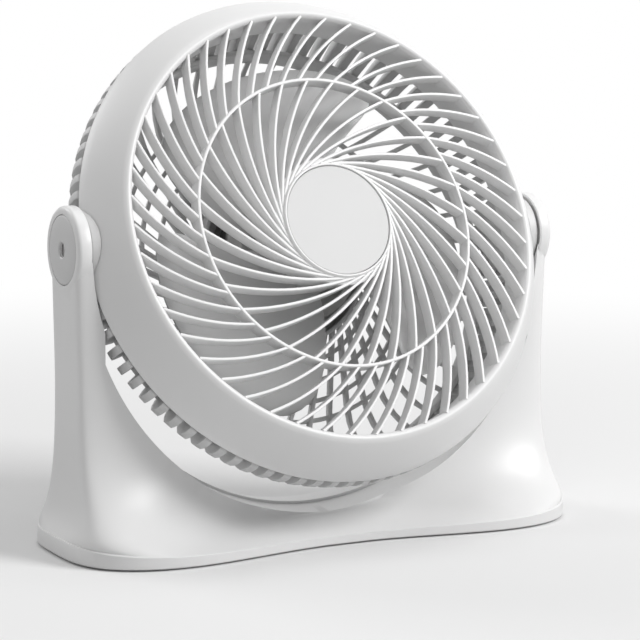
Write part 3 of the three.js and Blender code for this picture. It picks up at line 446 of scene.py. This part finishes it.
def brushed_metal_group():
    """Turned or rolled metal: fine streaks along one way, with darker patches."""
    group = surface_group("Brushed metal", ("Colour", "Worn colour", "Roughness", "Streaks"))
    nodes, links = group.nodes, group.links
    given = nodes.new("NodeGroupInput")
    put = nodes.new("NodeGroupOutput")
    place = nodes.new("ShaderNodeTexCoord")
    stretch = nodes.new("ShaderNodeMapping")
    links.new(place.outputs["Object"], stretch.inputs["Vector"])
    links.new(given.outputs["Streaks"], stretch.inputs["Scale"])
    streak = nodes.new("ShaderNodeTexNoise")
    streak.inputs["Scale"].default_value = 1
    links.new(stretch.outputs["Vector"], streak.inputs["Vector"])
    patch = nodes.new("ShaderNodeTexNoise")
    patch.inputs["Scale"].default_value = 90
    links.new(place.outputs["Object"], patch.inputs["Vector"])
    blend = nodes.new("ShaderNodeMix")
    blend.data_type = "RGBA"
    links.new(patch.outputs["Fac"], blend.inputs["Factor"])
    links.new(given.outputs["Colour"], blend.inputs["A"])
    links.new(given.outputs["Worn colour"], blend.inputs["B"])
    links.new(blend.outputs["Result"], put.inputs["Colour"])
    gloss = nodes.new("ShaderNodeMath")
    gloss.operation = "MULTIPLY_ADD"
    gloss.inputs[1].default_value = 0.15
    links.new(streak.outputs["Fac"], gloss.inputs[0])
    links.new(given.outputs["Roughness"], gloss.inputs[2])
    links.new(gloss.outputs["Value"], put.inputs["Roughness"])
    bump = nodes.new("ShaderNodeBump")
    bump.inputs["Strength"].default_value = 0.15
    bump.inputs["Distance"].default_value = 0.0001
    links.new(streak.outputs["Fac"], bump.inputs["Height"])
    links.new(bump.outputs["Normal"], put.inputs["Normal"])
    return group


MOULDED = moulded_surface_group()
BRUSHED = brushed_metal_group()


def grey(value, warm=0.0):
    """A neutral colour, or a slightly warm one."""
    return (value * (1 + warm), value, value * (1 - warm), 1)


def material_with(name, group, values, metallic=0.0):
    """A material whose shader takes its colour, roughness and normal from a node group."""
    material = bpy.data.materials.new(name)
    material.use_nodes = True
    nodes, links = material.node_tree.nodes, material.node_tree.links
    shader = nodes["Principled BSDF"]
    shader.inputs["Metallic"].default_value = metallic
    effect = nodes.new("ShaderNodeGroup")
    effect.node_tree = group
    for key, value in values.items():
        effect.inputs[key].default_value = value
    links.new(effect.outputs["Colour"], shader.inputs["Base Color"])
    links.new(effect.outputs["Roughness"], shader.inputs["Roughness"])
    links.new(effect.outputs["Normal"], shader.inputs["Normal"])
    return material


def moulded(name, colour, shaded, roughness, change, grain, height, dust):
    """A plastic, rubber or fibre finish."""
    return material_with(name, MOULDED, {
        "Colour": colour, "Shaded colour": shaded, "Roughness": roughness, "Roughness change": change,
        "Grain scale": grain, "Grain height": height, "Dust": dust})


def metal(name, colour, worn, roughness, streaks=(200, 200, 4000)):
    """A metal finish."""
    return material_with(name, BRUSHED, {
        "Colour": colour, "Worn colour": worn, "Roughness": roughness, "Streaks": streaks}, metallic=1.0)


WHITE = moulded("White ABS", grey(0.82), grey(0.78, 0.006), 0.32, 0.10, 2200, 0.05, 0.35)
GUARD_WHITE = moulded("White ABS guard", grey(0.82), grey(0.77, 0.006), 0.36, 0.12, 2200, 0.05, 0.35)
CAP_GREY = moulded("Pale grey cap plastic", grey(0.66), grey(0.60), 0.40, 0.10, 1800, 0.08, 0.3)
# The blades are pale grey plastic; their grey is set darker still as painted shade for the shade inside the
# guard.
BLADE_GREY_PAINTED_SHADE = moulded("Pale grey blade plastic with painted shade", grey(0.58), grey(0.53), 0.30, 0.10, 1400, 0.05, 0.3)
# Same white ABS as the shells, but set darker as painted shade for the shade that falls inside the guard.
REAR_WHITE_PAINTED_SHADE = moulded("White ABS rear guard with painted shade", grey(0.66), grey(0.60, 0.006), 0.42, 0.12, 2200, 0.05, 0.4)
BADGE_WHITE = moulded("Satin white badge", grey(0.66), grey(0.63), 0.5, 0.08, 2600, 0.03, 0.2)
RUBBER = moulded("Grey foot rubber", grey(0.05), grey(0.11), 0.82, 0.10, 900, 0.5, 0.5)
DARK = moulded("Dark moulded plastic", grey(0.024), grey(0.04), 0.50, 0.15, 1500, 0.2, 0.4)
MARK_INK = moulded("Grey marking ink", grey(0.16), grey(0.20), 0.55, 0.10, 1500, 0.05, 0.1)
FIBRE = moulded("Pressed fibre", (0.27, 0.24, 0.19, 1), (0.20, 0.17, 0.13, 1), 0.85, 0.10, 700, 0.6, 0.3)
STEEL = metal("Zinc plated steel", grey(0.55), grey(0.42, 0.02), 0.28)
MOTOR_STEEL = metal("Drawn motor steel", grey(0.48), grey(0.36, 0.02), 0.32, (2400, 2400, 300))
IRON = metal("Stacked iron laminations", grey(0.22), grey(0.14), 0.45, (120, 9000, 9000))
COPPER = metal("Enamelled copper", (0.60, 0.24, 0.09, 1), (0.42, 0.15, 0.05, 1), 0.30, (3000, 3000, 3000))
BRONZE = metal("Sintered bronze", (0.44, 0.30, 0.14, 1), (0.34, 0.22, 0.10, 1), 0.42)


# ---- base ----
def run(top, foot, z, height):
    """A size that goes from its value at the rim to its value up the arm, within about a height."""
    return top + (foot - top) * math.exp(-max(z - RIM_Z, 0) / height)


def smooth_share(value, low, high):
    """0 below low, 1 above high and a soft step between them."""
    share = min(max((value - low) / (high - low), 0), 1)
    return share * share * (3 - 2 * share)


def outline_point(z, step, inset):
    """One point of the plan outline at a height, as in the moulding's section."""
    ear = smooth_share(z, PIVOT_Z / 2, PIVOT_Z) * (EAR_OUTER - ARM_HALF_WIDTH)
    half_width = run(ARM_HALF_WIDTH, FOOT_HALF_WIDTH, z, FLARE_SIDE) + ear - inset
    power = 2 / run(CORNER_ARM, CORNER_FOOT, z, FLARE_CORNER)
    angle = TURN * (step + 0.5) / OUTLINE_STEPS
    across, along = math.cos(angle), math.sin(angle)
    share = math.copysign(abs(across) ** power, across)
    waist_depth, arm_depth, foot_depth = (
        (WAIST_REAR, ARM_REAR, FOOT_REAR) if along > 0 else (WAIST_FRONT, ARM_FRONT, FOOT_FRONT))
    waist = run(NECK_HALF_DEPTH, waist_depth, z, FLARE_WAIST)
    lobe = run(arm_depth, foot_depth, z, FLARE_DEPTH)
    middle = (1 - share * share) ** WAIST_POWER
    depth = lobe - (lobe - waist) * middle - inset
    lift = (RIM_LIFT_ENDS * share ** 6 - RIM_DROP_MIDDLE * middle) * min(z / RIM_Z, 1) ** 2
    lift *= math.exp(-max(z - RIM_Z, 0) / FLARE_SIDE)
    return half_width * share, depth * math.copysign(abs(along) ** power, along), z + lift


def base_block():
    """The flared foot and both arms as one solid, drawn up ring by ring."""
    above = [(k / LOFT_STEPS) ** LOFT_POWER for k in range(LOFT_STEPS + 1)]
    levels = [(BASE_Z, BASE_FLOOR_EDGE), (BASE_Z + 0.6, 0), (RIM_Z - RIM_EDGE, 0), (RIM_Z, RIM_EDGE)]
    for share in above:
        z = RIM_Z + (PIVOT_Z - RIM_Z) * share
        levels.append((z, RIM_LEDGE * math.exp(-(z - RIM_Z) / FLARE_WAIST)))
    bm = bmesh.new()
    station = bm.verts.layers.int.new("station")
    ring = bmesh.ops.create_circle(bm, cap_ends=True, segments=OUTLINE_STEPS, radius=1)["verts"]
    for step, vert in enumerate(ring):
        vert[station] = step
    edges = bm.edges[:]
    for level, (z, inset) in enumerate(levels):
        if level:
            drawn = bmesh.ops.extrude_edge_only(bm, edges=edges)["geom"]
            ring = [item for item in drawn if isinstance(item, bmesh.types.BMVert)]
            edges = [item for item in drawn if isinstance(item, bmesh.types.BMEdge)]
            edges = [edge for edge in edges if all(vert in ring for vert in edge.verts)]
        for vert in ring:
            vert.co = outline_point(z, vert[station], inset)
    return closed(bm)


def trough(grow):
    """The oval room under and beside the head, no wider than the arms allow."""
    end = CRADLE_RADIUS + grow + CRADLE_DRAFT * CRADLE_HALF_LENGTH
    bm = turned([(0, -CRADLE_HALF_LENGTH), (end, -CRADLE_HALF_LENGTH), (CRADLE_RADIUS + grow, 0),
                 (end, CRADLE_HALF_LENGTH), (0, CRADLE_HALF_LENGTH)], FINE_STEPS)
    narrowed = (CRADLE_SIDE + grow) / (CRADLE_RADIUS + grow)
    upright_turn = Matrix.Rotation(math.pi / 2, 4, "X")
    place = Matrix.Translation((0, 0, PIVOT_Z)) @ Matrix.Diagonal((narrowed, 1, 1, 1)) @ upright_turn
    moved(bm, place)
    slot = box((-ARM_INNER, -FOOT_FRONT, 0), (ARM_INNER, FOOT_FRONT, PIVOT_Z + 2 * EAR_RADIUS))
    return carved(bm, slot, "INTERSECT")


def swing_room():
    """The ball in which the head tilts."""
    bm = bmesh.new()
    bmesh.ops.create_uvsphere(bm, u_segments=FINE_STEPS, v_segments=FINE_STEPS // 2,
                              radius=SWING_RADIUS)
    return moved(bm, Matrix.Translation((0, 0, PIVOT_Z)) @ Matrix.Rotation(math.pi / 2, 4, "X"))


def at_pivot(bm):
    """A piece turned about Z, laid along the tilt axis."""
    return moved(bm, Matrix.Translation((0, 0, PIVOT_Z)) @ ALONG_X)


def both_sides(bm):
    """The piece and its mirror image on the other arm."""
    mirrored = bm.copy()
    moved(mirrored, Matrix.Scale(-1, 4, (1, 0, 0)))
    bmesh.ops.reverse_faces(mirrored, faces=mirrored.faces[:])
    return joined(bm, mirrored)


def ear_bores():
    """Cap recess and screw bore through each ear."""
    start, end = EAR_SEAT - 3, EAR_OUTER + 2
    screw_seat = EAR_SEAT + PIVOT_SCREW_WALL
    recess = EAR_OUTER - CAP_DEPTH
    cap_room = CAP_RADIUS + CAP_CLEARANCE
    bore = [(0, start), (PIVOT_SCREW_BORE, start), (PIVOT_SCREW_BORE, screw_seat),
            (PIVOT_SCREW_HEAD_BORE, screw_seat), (PIVOT_SCREW_HEAD_BORE, recess), (cap_room, recess),
            (cap_room, end), (0, end)]
    return both_sides(at_pivot(turned(bore, MIDDLE_STEPS)))


def softened(bm, width, angle):
    """Rounds every edge that is sharper than the angle."""
    sharp = [edge for edge in bm.edges if len(edge.link_faces) == 2 and edge.calc_face_angle() > angle]
    bmesh.ops.bevel(bm, geom=sharp, offset=width, offset_type="OFFSET", segments=2, profile=0.5,
                    affect="EDGES", clamp_overlap=True, material=-1)
    return bm


def base_pieces():
    """The front shell and the rear cover, cut from one block that has the ears on it."""
    ear = [(0, EAR_INNER), (EAR_RADIUS, EAR_INNER, 0.5), (EAR_RADIUS, EAR_OUTER, EAR_ROUND),
           (CAP_RADIUS + 0.6, EAR_OUTER), (0, EAR_OUTER)]
    whole = carved(base_block(), both_sides(at_pivot(turned(ear, STEPS))), "UNION")
    whole = carved(whole, swing_room())
    whole = carved(whole, at_pivot(rod(SEAT_RADIUS, -EAR_SEAT, EAR_SEAT, MIDDLE_STEPS)))
    whole = carved(whole, ear_bores())
    pad_rooms = [moved(rod(PAD_RADIUS + PAD_CLEARANCE, 0, PAD_RECESS_TOP), Matrix.Translation((x, y, 0)))
                 for x, y in PAD_PLACES.values()]
    whole = carved(whole, joined(*pad_rooms))
    front = carved(whole.copy(), box((-COVER_HALF_WIDTH - SEAM, -SEAM / 2, -1),
                                     (COVER_HALF_WIDTH + SEAM, FOOT_FRONT, COVER_TOP + SEAM)))
    front = carved(front, trough(FRONT_STEP))
    cover = carved(whole, box((-COVER_HALF_WIDTH, SEAM / 2, 0), (COVER_HALF_WIDTH, FOOT_FRONT, COVER_TOP)),
                   "INTERSECT")
    cover = carved(cover, trough(-COVER_STEP))
    back = Matrix.Rotation(-math.pi / 2, 4, "X")
    wells = [moved(rod(BASE_SCREW_BORE, BASE_SCREW_SEAT_Y, FOOT_FRONT),
                   Matrix.Translation((x, 0, z)) @ back)
             for x, z in BASE_SCREWS]
    return front, carved(cover, joined(*wells))


front_shell, rear_cover = base_pieces()
finished("base_front", front_shell, STAND, "base", WHITE, ["base_front_shell"])
finished("base_back_cover", rear_cover, STAND, "base", WHITE, ["base_rear_cover"])


def foot_pad():
    """A rubber pad with two round grooves in its sole."""
    sole = [(0, 0)]
    for inner, outer in PAD_GROOVES:
        sole += [(inner, 0), (inner, PAD_GROOVE_DEPTH), (outer, PAD_GROOVE_DEPTH), (outer, 0)]
    return turned(sole + [(PAD_RADIUS, 0, 0.4), (PAD_RADIUS, PAD_TOP, 0.2), (0, PAD_TOP)], SMALL_STEPS)


for corner, (pad_x, pad_y) in PAD_PLACES.items():
    finished(f"foot_pad_{corner}", foot_pad(), Matrix.Translation((pad_x, pad_y, 0)), "base",
             RUBBER, [f"rubber_foot_{corner}"])


# ---- pivots ----
def pivot_cap():
    """A shallow domed cap with a hole for the screwdriver."""
    low = EAR_OUTER - CAP_DEPTH + CAP_CLEARANCE
    top = EAR_OUTER + CAP_DOME
    return turned([(CAP_HOLE, low), (CAP_RADIUS, low, 0.2), (CAP_RADIUS, EAR_OUTER - 0.1, 0.5),
                   (CAP_RADIUS - 1.2, EAR_OUTER + 0.25), (CAP_RADIUS / 2, top - 0.05),
                   (CAP_HOLE + 0.6, top), (CAP_HOLE, top - 0.5)], MIDDLE_STEPS)


for side, sign in (("right", 1), ("left", -1)):
    place = Matrix.Translation((0, 0, PIVOT_Z)) @ Matrix.Rotation(sign * math.pi / 2, 4, "Y")
    finished(f"ear_cap_{side}", pivot_cap(), place, "base", CAP_GREY,
             [f"pivot_cap_{side}"])


# ---- front guard ----
def arc_sweep(arc, tangent, radius):
    """Angle about the arc's own centre from the point where it touches the tangent circle."""
    offset = arc - tangent
    return math.acos(max(-1, min(1, (arc ** 2 + offset ** 2 - radius ** 2) / (2 * arc * offset))))


def clockwise_at(arc, tangent, radius):
    """Angle clockwise of the top at which the arc, begun at the top, crosses a radius."""
    swept = arc_sweep(arc, tangent, radius)
    return math.atan2(arc * math.sin(swept), tangent - arc + arc * math.cos(swept))


def rib_ring(count, arc, tangent, inner, outer, steps):
    """Curved ribs between two radii, each an arc that touches a circle around the middle."""
    half = RIB_WIDTH / 2
    root = RIB_ROOT_WIDTH / 2
    rear = RIB_FRONT - RIB_DEPTH
    bm = section([(arc - root, rear, 0.4), (arc + root, rear, 0.4), (arc + half, RIB_FRONT, 0.3),
                  (arc - half, RIB_FRONT, 0.3)])
    centre = Vector((0, tangent - arc, 0))
    start, end = (arc_sweep(arc, tangent, radius) for radius in (inner, outer))
    moved(bm, Matrix.Translation(centre) @ Matrix.Rotation(math.pi / 2 - start, 4, "Z"))
    bmesh.ops.spin(bm, geom=bm.verts[:] + bm.edges[:] + bm.faces[:], cent=centre, axis=(0, 0, -1),
                   angle=end - start, steps=steps)
    closed(bm)
    turn = clockwise_at(arc, tangent, MID_RADIUS) - RIB_MEETING
    return around(moved(bm, Matrix.Rotation(turn, 4, "Z")), count)


def front_guard():
    """Bezel, both rings of ribs, mid ring and the hub that holds the badge."""
    inner = rib_ring(INNER_RIBS, INNER_ARC, HUB_RADIUS - 0.1, HUB_RADIUS + 0.3, MID_RADIUS, INNER_RIB_STEPS)
    outer = rib_ring(OUTER_RIBS, OUTER_ARC, OUTER_TANGENT, MID_RADIUS, BEZEL_INNER + 0.8, OUTER_RIB_STEPS)
    ring_inner, ring_outer = MID_RADIUS - MID_WIDTH / 2, MID_RADIUS + MID_WIDTH / 2
    ring_front = RIB_FRONT + 0.25
    ring_rear = ring_front - MID_DEPTH
    mid = turned([(ring_inner, ring_rear, 0.4), (ring_outer, ring_rear, 0.4), (ring_outer, ring_front, 0.5),
                  (ring_inner, ring_front, 0.5)], FINE_STEPS)
    floor = BADGE_REAR - BADGE_GAP
    hub = turned([(0, HUB_REAR), (HUB_RADIUS - 2, HUB_REAR, 1), (HUB_RADIUS, HUB_REAR + 2),
                  (HUB_ROOT, RIB_FRONT - RIB_DEPTH + 1), (HUB_ROOT, RIB_FRONT - 1.6, 0.6),
                  (HUB_RADIUS + 0.8, RIB_FRONT - 0.9, 0.3), (HUB_RADIUS, HUB_FRONT - 0.6, 0.2),
                  (HUB_RADIUS - 0.15, HUB_FRONT, 0.3), (HUB_RADIUS - HUB_RING, HUB_FRONT, 0.3),
                  (HUB_RADIUS - HUB_RING, floor), (0, floor)], STEPS)
    return joined(turned(BEZEL, FINE_STEPS), inner, outer, mid, hub)


finished("front_guard", front_guard(), HEAD, "head", GUARD_WHITE, ["front_grille"])

badge_radius = HUB_RADIUS - HUB_RING - BADGE_GAP
badge = turned([(0, BADGE_REAR), (badge_radius, BADGE_REAR), (badge_radius, BADGE_FRONT, 0.5),
                (badge_radius - 0.9, BADGE_FRONT), (0, BADGE_FRONT)])
finished("badge_disc", badge, HEAD, "head", BADGE_WHITE, ["hub_badge"])


# ---- rear guard ----
def back_depth(radius):
    """Depth of the slotted back at a radius."""
    for (r0, d0), (r1, d1) in zip(BACK_CURVE, BACK_CURVE[1:]):
        if r1 <= radius <= r0:
            return d0 + (d1 - d0) * (radius - r0) / (r1 - r0)
    return BACK_CURVE[-1][1]


def back_ring(radius):
    """A thin ring that ties the bars of the back together."""
    low = back_depth(radius) + 0.6
    high = low + BAR_HEIGHT - 1.2
    inner, outer = radius - RING_WIDTH / 2, radius + RING_WIDTH / 2
    return turned([(inner, low, 0.5), (outer, low, 0.5), (outer, high, 0.5), (inner, high, 0.5)])


def back_bars():
    """Straight bars of the back, each touching a circle around the middle."""
    def away(radius):
        return math.sqrt(radius ** 2 - BAR_TANGENT ** 2)
    rear = [(away(radius), d) for radius, d in BACK_CURVE]
    front = [(away(radius), d + BAR_HEIGHT) for radius, d in reversed(BACK_CURVE)]
    return around(upright(rear + front, BAR_WIDTH, BAR_ROUND, BAR_TANGENT), BAR_COUNT)


def pivot_bosses():
    """The two round bosses that the ears hold, cut back where the bezel passes them."""
    boss = turned([(0, BOSS_INNER), (BOSS_RADIUS, BOSS_INNER, 0.8), (BOSS_RADIUS, BOSS_END, 1.2),
                   (0, BOSS_END)], MIDDLE_STEPS)
    return carved(both_sides(moved(boss, ALONG_X)), turned(BEZEL_ROOM, FINE_STEPS))


def rear_guard():
    """The bowl of fins behind the bezel, its slotted back and the cup around the motor."""
    fins = around(upright(FIN_OUTLINE, FIN_WIDTH, FIN_ROUND, segments=3), FIN_COUNT)
    rings = [back_ring(radius) for radius in BACK_RINGS]
    return joined(turned(JOINT_RING, FINE_STEPS), fins, turned(BAND, FINE_STEPS), back_bars(), *rings,
                  turned(CUP), pivot_bosses())


# The rear guard's darker white is painted shade.
finished("rear_guard", rear_guard(), HEAD, "head", REAR_WHITE_PAINTED_SHADE, ["rear_housing"])


# ---- blade wheel ----
def blade():
    """One wide blade: it leans back, rises towards its tip and is rounded at its outer corners."""
    bm = bmesh.new()
    bmesh.ops.create_grid(bm, x_segments=28, y_segments=18, size=0.5)
    for vert in bm.verts:
        share, out = vert.co.x, vert.co.y + 0.5
        radius = BLADE_ROOT + (BLADE_TIP - BLADE_ROOT) * out
        near_end = abs(2 * share) ** BLADE_END_EXPONENT
        radius -= (BLADE_TIP - BLADE_ROOT) * BLADE_END_ROUND * near_end * out ** 2
        narrowed = 1 - BLADE_TIP_ROUND * out ** 8
        rise = BLADE_RISE_ROOT + (BLADE_RISE - BLADE_RISE_ROOT) * out
        angle = share * BLADE_SWEEP * narrowed - out * BLADE_LEAN
        height = BLADE_MID - 2 * rise * share + BLADE_CAMBER * (1 - 4 * share * share)
        vert.co = (radius * math.cos(angle), radius * math.sin(angle), height)
    bmesh.ops.solidify(bm, geom=bm.faces[:], thickness=BLADE_THICKNESS)
    closed(bm)
    return softened(bm, BLADE_EDGE, math.radians(60))


wheel = joined(turned(WHEEL_HUB, MIDDLE_STEPS), around(blade(), BLADES))
# The blades' grey is partly their own colour and partly painted shade.
finished("blade_wheel", wheel, HEAD, "fan", BLADE_GREY_PAINTED_SHADE, ["fan_blade"], sharp=40)


# ---- rear cap, dial, marks and inlet ----
def rear_cap():
    """The cap behind the motor, with a shallow vent in every second face of its outer wall."""
    bm = turned(REAR_CAP, 2 * VENT_COUNT)
    low, high = VENT_BAND
    wall = [face for face in bm.faces
            if face.calc_area() > VENT_LEAST_AREA and low < face.calc_center_median().z < high
            and face.calc_center_median().xy.length > VENT_WALL_RADIUS]
    wall.sort(key=lambda face: math.atan2(face.calc_center_median().y, face.calc_center_median().x))
    vents = wall[::2]
    bmesh.ops.inset_individual(bm, faces=vents, thickness=VENT_FRAME)
    for face in vents:
        inward = -Vector((*face.calc_center_median().xy.normalized(), 0)) * VENT_DEPTH
        bmesh.ops.translate(bm, verts=face.verts[:], vec=inward)
    return bm


def dial():
    """The dial with its grip, and the line on the grip that points at a mark."""
    stem_end = DIAL_FOOT + DIAL_STEM_LENGTH
    disc = turned([(0, DIAL_FACE), (DIAL_RADIUS, DIAL_FACE, 1), (DIAL_RADIUS, DIAL_FOOT, 0.3),
                   (DIAL_STEM, DIAL_FOOT), (DIAL_STEM - 0.4, stem_end), (0, stem_end)], MIDDLE_STEPS)
    reach = DIAL_RADIUS - 1
    foot, top = GRIP_WIDTH / 2, GRIP_WIDTH / 2 - GRIP_TAPER
    grip = upright([(-top, GRIP_REAR, 1), (top, GRIP_REAR, 1), (foot, DIAL_FACE + 1), (-foot, DIAL_FACE + 1)],
                   2 * reach, 0.5)
    grip = carved(grip, rod(reach, GRIP_REAR - 1, DIAL_FOOT, MIDDLE_STEPS), "INTERSECT")
    low, high = GRIP_REAR - 0.05, GRIP_REAR + 0.6
    line = upright([(-POINTER_HALF_WIDTH, low), (POINTER_HALF_WIDTH, low), (POINTER_HALF_WIDTH, high),
                    (-POINTER_HALF_WIDTH, high)], POINTER_LENGTH, 0)
    return joined(disc, grip), moved(line, Matrix.Translation((0, reach - 6, 0)))


def mark(text, angle):
    """A number beside the dial, read from behind."""
    curve = bpy.data.curves.new("mark", "FONT")
    curve.body = text
    curve.size = MARK_SIZE
    curve.align_x = "CENTER"
    curve.align_y = "CENTER"
    curve.extrude = MARK_THICKNESS
    carrier = bpy.data.objects.new("mark", curve)
    bpy.context.collection.objects.link(carrier)
    graph = bpy.context.evaluated_depsgraph_get()
    mesh = bpy.data.meshes.new_from_object(carrier.evaluated_get(graph))
    bm = bmesh.new()
    bm.from_mesh(mesh)
    bpy.data.objects.remove(carrier)
    bpy.data.curves.remove(curve)
    bpy.data.meshes.remove(mesh)
    facing_back = Matrix.Rotation(math.pi, 4, "Y")
    spot = (MARK_RADIUS * math.sin(angle), MARK_RADIUS * math.cos(angle), CAP_BACK - 0.05)
    return moved(bm, Matrix.Translation(spot) @ facing_back)


finished("rear_cap", rear_cap(), HEAD, "head", WHITE, ["motor_cover"])
dial_body, dial_pointer = dial()
finished("speed_dial", dial_body, HEAD, "speed_knob", CAP_GREY, ["speed_knob"])
finished("dial_pointer", dial_pointer, HEAD, "speed_knob", MARK_INK)
for step in range(MARK_COUNT):
    finished(f"dial_mark_{step}", mark(str(step), -MARK_SPREAD * step), HEAD, "head",
             MARK_INK)

finished("inlet_bushing", turned(INLET, SMALL_STEPS), HEAD @ Matrix.Translation((0, INLET_Y, 0)), "head",
         DARK, ["cord_inlet"])

# ---- finishes of the pieces that keep the CAD shape ----
FINISHES = {
    "base_screw": STEEL, "pivot_screw": STEEL, "grille_screw": STEEL, "motor_screw": STEEL,
    "cover_screw": STEEL, "motor_shaft": STEEL, "motor_front_bell": MOTOR_STEEL,
    "motor_rear_bell": MOTOR_STEEL, "motor_stator": IRON, "motor_rotor": IRON, "motor_winding": COPPER,
    "bearing": BRONZE, "blade_nut": DARK, "speed_switch": DARK, "friction_washer": FIBRE,
}
for node_name, node in frame["nodes"].items():
    for start, material in FINISHES.items():
        if node_name.startswith(start):
            node.data.materials.clear()
            node.data.materials.append(material)

# ---- floor, lights and camera, in metres ----
FLOOR_SIZE = 30
FLOOR_FADE_START = 0.15
FLOOR_FADE_END = 1.25
FLOOR_SEEN = 0.84                # how pale the floor looks to the camera
FLOOR_BOUNCE = 0.6               # how pale it is to the light that it throws back
WORLD_LEVEL = 0.32
MIDDLE_OF_HEAD = (0, 0, 0.15)
MIDDLE_OF_BASE = (0, 0, 0.1)
SOFTBOXES = [                    # name, place, what it faces, side, power
    ("key_softbox", (1.5, -1.5, 1.6), MIDDLE_OF_HEAD, 1.1, 46),
    ("top_softbox", (0.1, 0.1, 2.2), MIDDLE_OF_BASE, 1.4, 10),
    ("fill_softbox", (-1.3, -2.0, 0.9), MIDDLE_OF_BASE, 1.6, 4.5),
    ("rear_softbox", (-1.2, 2.0, 1.5), MIDDLE_OF_HEAD, 1.2, 16),
]
CAMERA_AZIMUTH = math.radians(-28.89)
CAMERA_ELEVATION = math.radians(7.32)
CAMERA_ROLL = math.radians(0.569)
CAMERA_DISTANCE = 1.1902
CAMERA_TARGET = Vector((0.0071, 0, 0.1170))
CAMERA_LENS = 119.58


def floor_material():
    """Pale floor: it keeps the shadow near the fan and fades to white with distance."""
    material = bpy.data.materials.new("Studio floor")
    material.use_nodes = True
    nodes, links = material.node_tree.nodes, material.node_tree.links
    nodes.remove(nodes["Principled BSDF"])
    out = nodes["Material Output"]
    path = nodes.new("ShaderNodeLightPath")
    colour = nodes.new("ShaderNodeMix")
    colour.data_type = "RGBA"
    colour.inputs["A"].default_value = grey(FLOOR_BOUNCE)
    colour.inputs["B"].default_value = grey(FLOOR_SEEN)
    links.new(path.outputs["Is Camera Ray"], colour.inputs["Factor"])
    plain = nodes.new("ShaderNodeBsdfDiffuse")
    links.new(colour.outputs["Result"], plain.inputs["Color"])
    white = nodes.new("ShaderNodeEmission")
    place = nodes.new("ShaderNodeTexCoord")
    length = nodes.new("ShaderNodeVectorMath")
    length.operation = "LENGTH"
    links.new(place.outputs["Object"], length.inputs[0])
    fade = nodes.new("ShaderNodeMapRange")
    fade.interpolation_type = "SMOOTHSTEP"
    fade.inputs["From Min"].default_value = FLOOR_FADE_START
    fade.inputs["From Max"].default_value = FLOOR_FADE_END
    links.new(length.outputs["Value"], fade.inputs["Value"])
    seen = nodes.new("ShaderNodeMath")
    seen.operation = "MULTIPLY"
    links.new(fade.outputs["Result"], seen.inputs[0])
    links.new(path.outputs["Is Camera Ray"], seen.inputs[1])
    mix = nodes.new("ShaderNodeMixShader")
    links.new(seen.outputs["Value"], mix.inputs["Fac"])
    links.new(plain.outputs["BSDF"], mix.inputs[1])
    links.new(white.outputs["Emission"], mix.inputs[2])
    links.new(mix.outputs["Shader"], out.inputs["Surface"])
    return material


floor_bm = bmesh.new()
bmesh.ops.create_grid(floor_bm, x_segments=1, y_segments=1, size=FLOOR_SIZE / 2)
floor = as_object(floor_bm, "studio_floor")
floor.data.materials.append(floor_material())


def studio_world():
    """Even light on the fan, and a white backdrop for the camera and for reflections."""
    world = bpy.data.worlds.new("Studio")
    bpy.context.scene.world = world
    world.use_nodes = True
    nodes, links = world.node_tree.nodes, world.node_tree.links
    level = nodes.new("ShaderNodeMix")
    level.data_type = "FLOAT"
    level.inputs["A"].default_value = WORLD_LEVEL
    level.inputs["B"].default_value = 1
    path = nodes.new("ShaderNodeLightPath")
    shown = path.outputs["Is Camera Ray"]
    for ray in ("Is Glossy Ray", "Is Transmission Ray"):
        either = nodes.new("ShaderNodeMath")
        either.operation = "MAXIMUM"
        links.new(shown, either.inputs[0])
        links.new(path.outputs[ray], either.inputs[1])
        shown = either.outputs["Value"]
    links.new(shown, level.inputs["Factor"])
    backdrop = nodes["Background"]
    backdrop.inputs["Color"].default_value = (1, 1, 1, 1)
    links.new(level.outputs["Result"], backdrop.inputs["Strength"])


def softbox(name, where, target, side, power):
    """A square area light that faces its target."""
    light = bpy.data.lights.new(name, "AREA")
    light.shape = "RECTANGLE"
    light.size = light.size_y = side
    light.energy = power
    lamp = bpy.data.objects.new(name, light)
    bpy.context.collection.objects.link(lamp)
    way = Vector(target) - Vector(where)
    lamp.matrix_world = Matrix.Translation(where) @ way.to_track_quat("-Z", "Y").to_matrix().to_4x4()


def photo_camera():
    """The camera at the photograph's angle, with its slight roll."""
    camera_data = bpy.data.cameras.new("photo_view")
    camera_data.lens = CAMERA_LENS
    camera_data.sensor_width = 36
    camera_data.clip_start = 0.05
    camera_data.clip_end = 100
    camera = bpy.data.objects.new("photo_view", camera_data)
    bpy.context.collection.objects.link(camera)
    back = Vector((math.sin(CAMERA_AZIMUTH) * math.cos(CAMERA_ELEVATION),
                   -math.cos(CAMERA_AZIMUTH) * math.cos(CAMERA_ELEVATION), math.sin(CAMERA_ELEVATION)))
    level_right = Vector((0, 0, 1)).cross(back).normalized()
    level_up = back.cross(level_right)
    right = level_right * math.cos(CAMERA_ROLL) + level_up * math.sin(CAMERA_ROLL)
    facing = Matrix((right, back.cross(right), back)).transposed().to_4x4()
    camera.matrix_world = Matrix.Translation(CAMERA_TARGET + back * CAMERA_DISTANCE) @ facing
    return camera


studio_world()
for values in SOFTBOXES:
    softbox(*values)
bpy.context.scene.camera = photo_camera()
bpy.context.scene.view_settings.view_transform = "Standard"
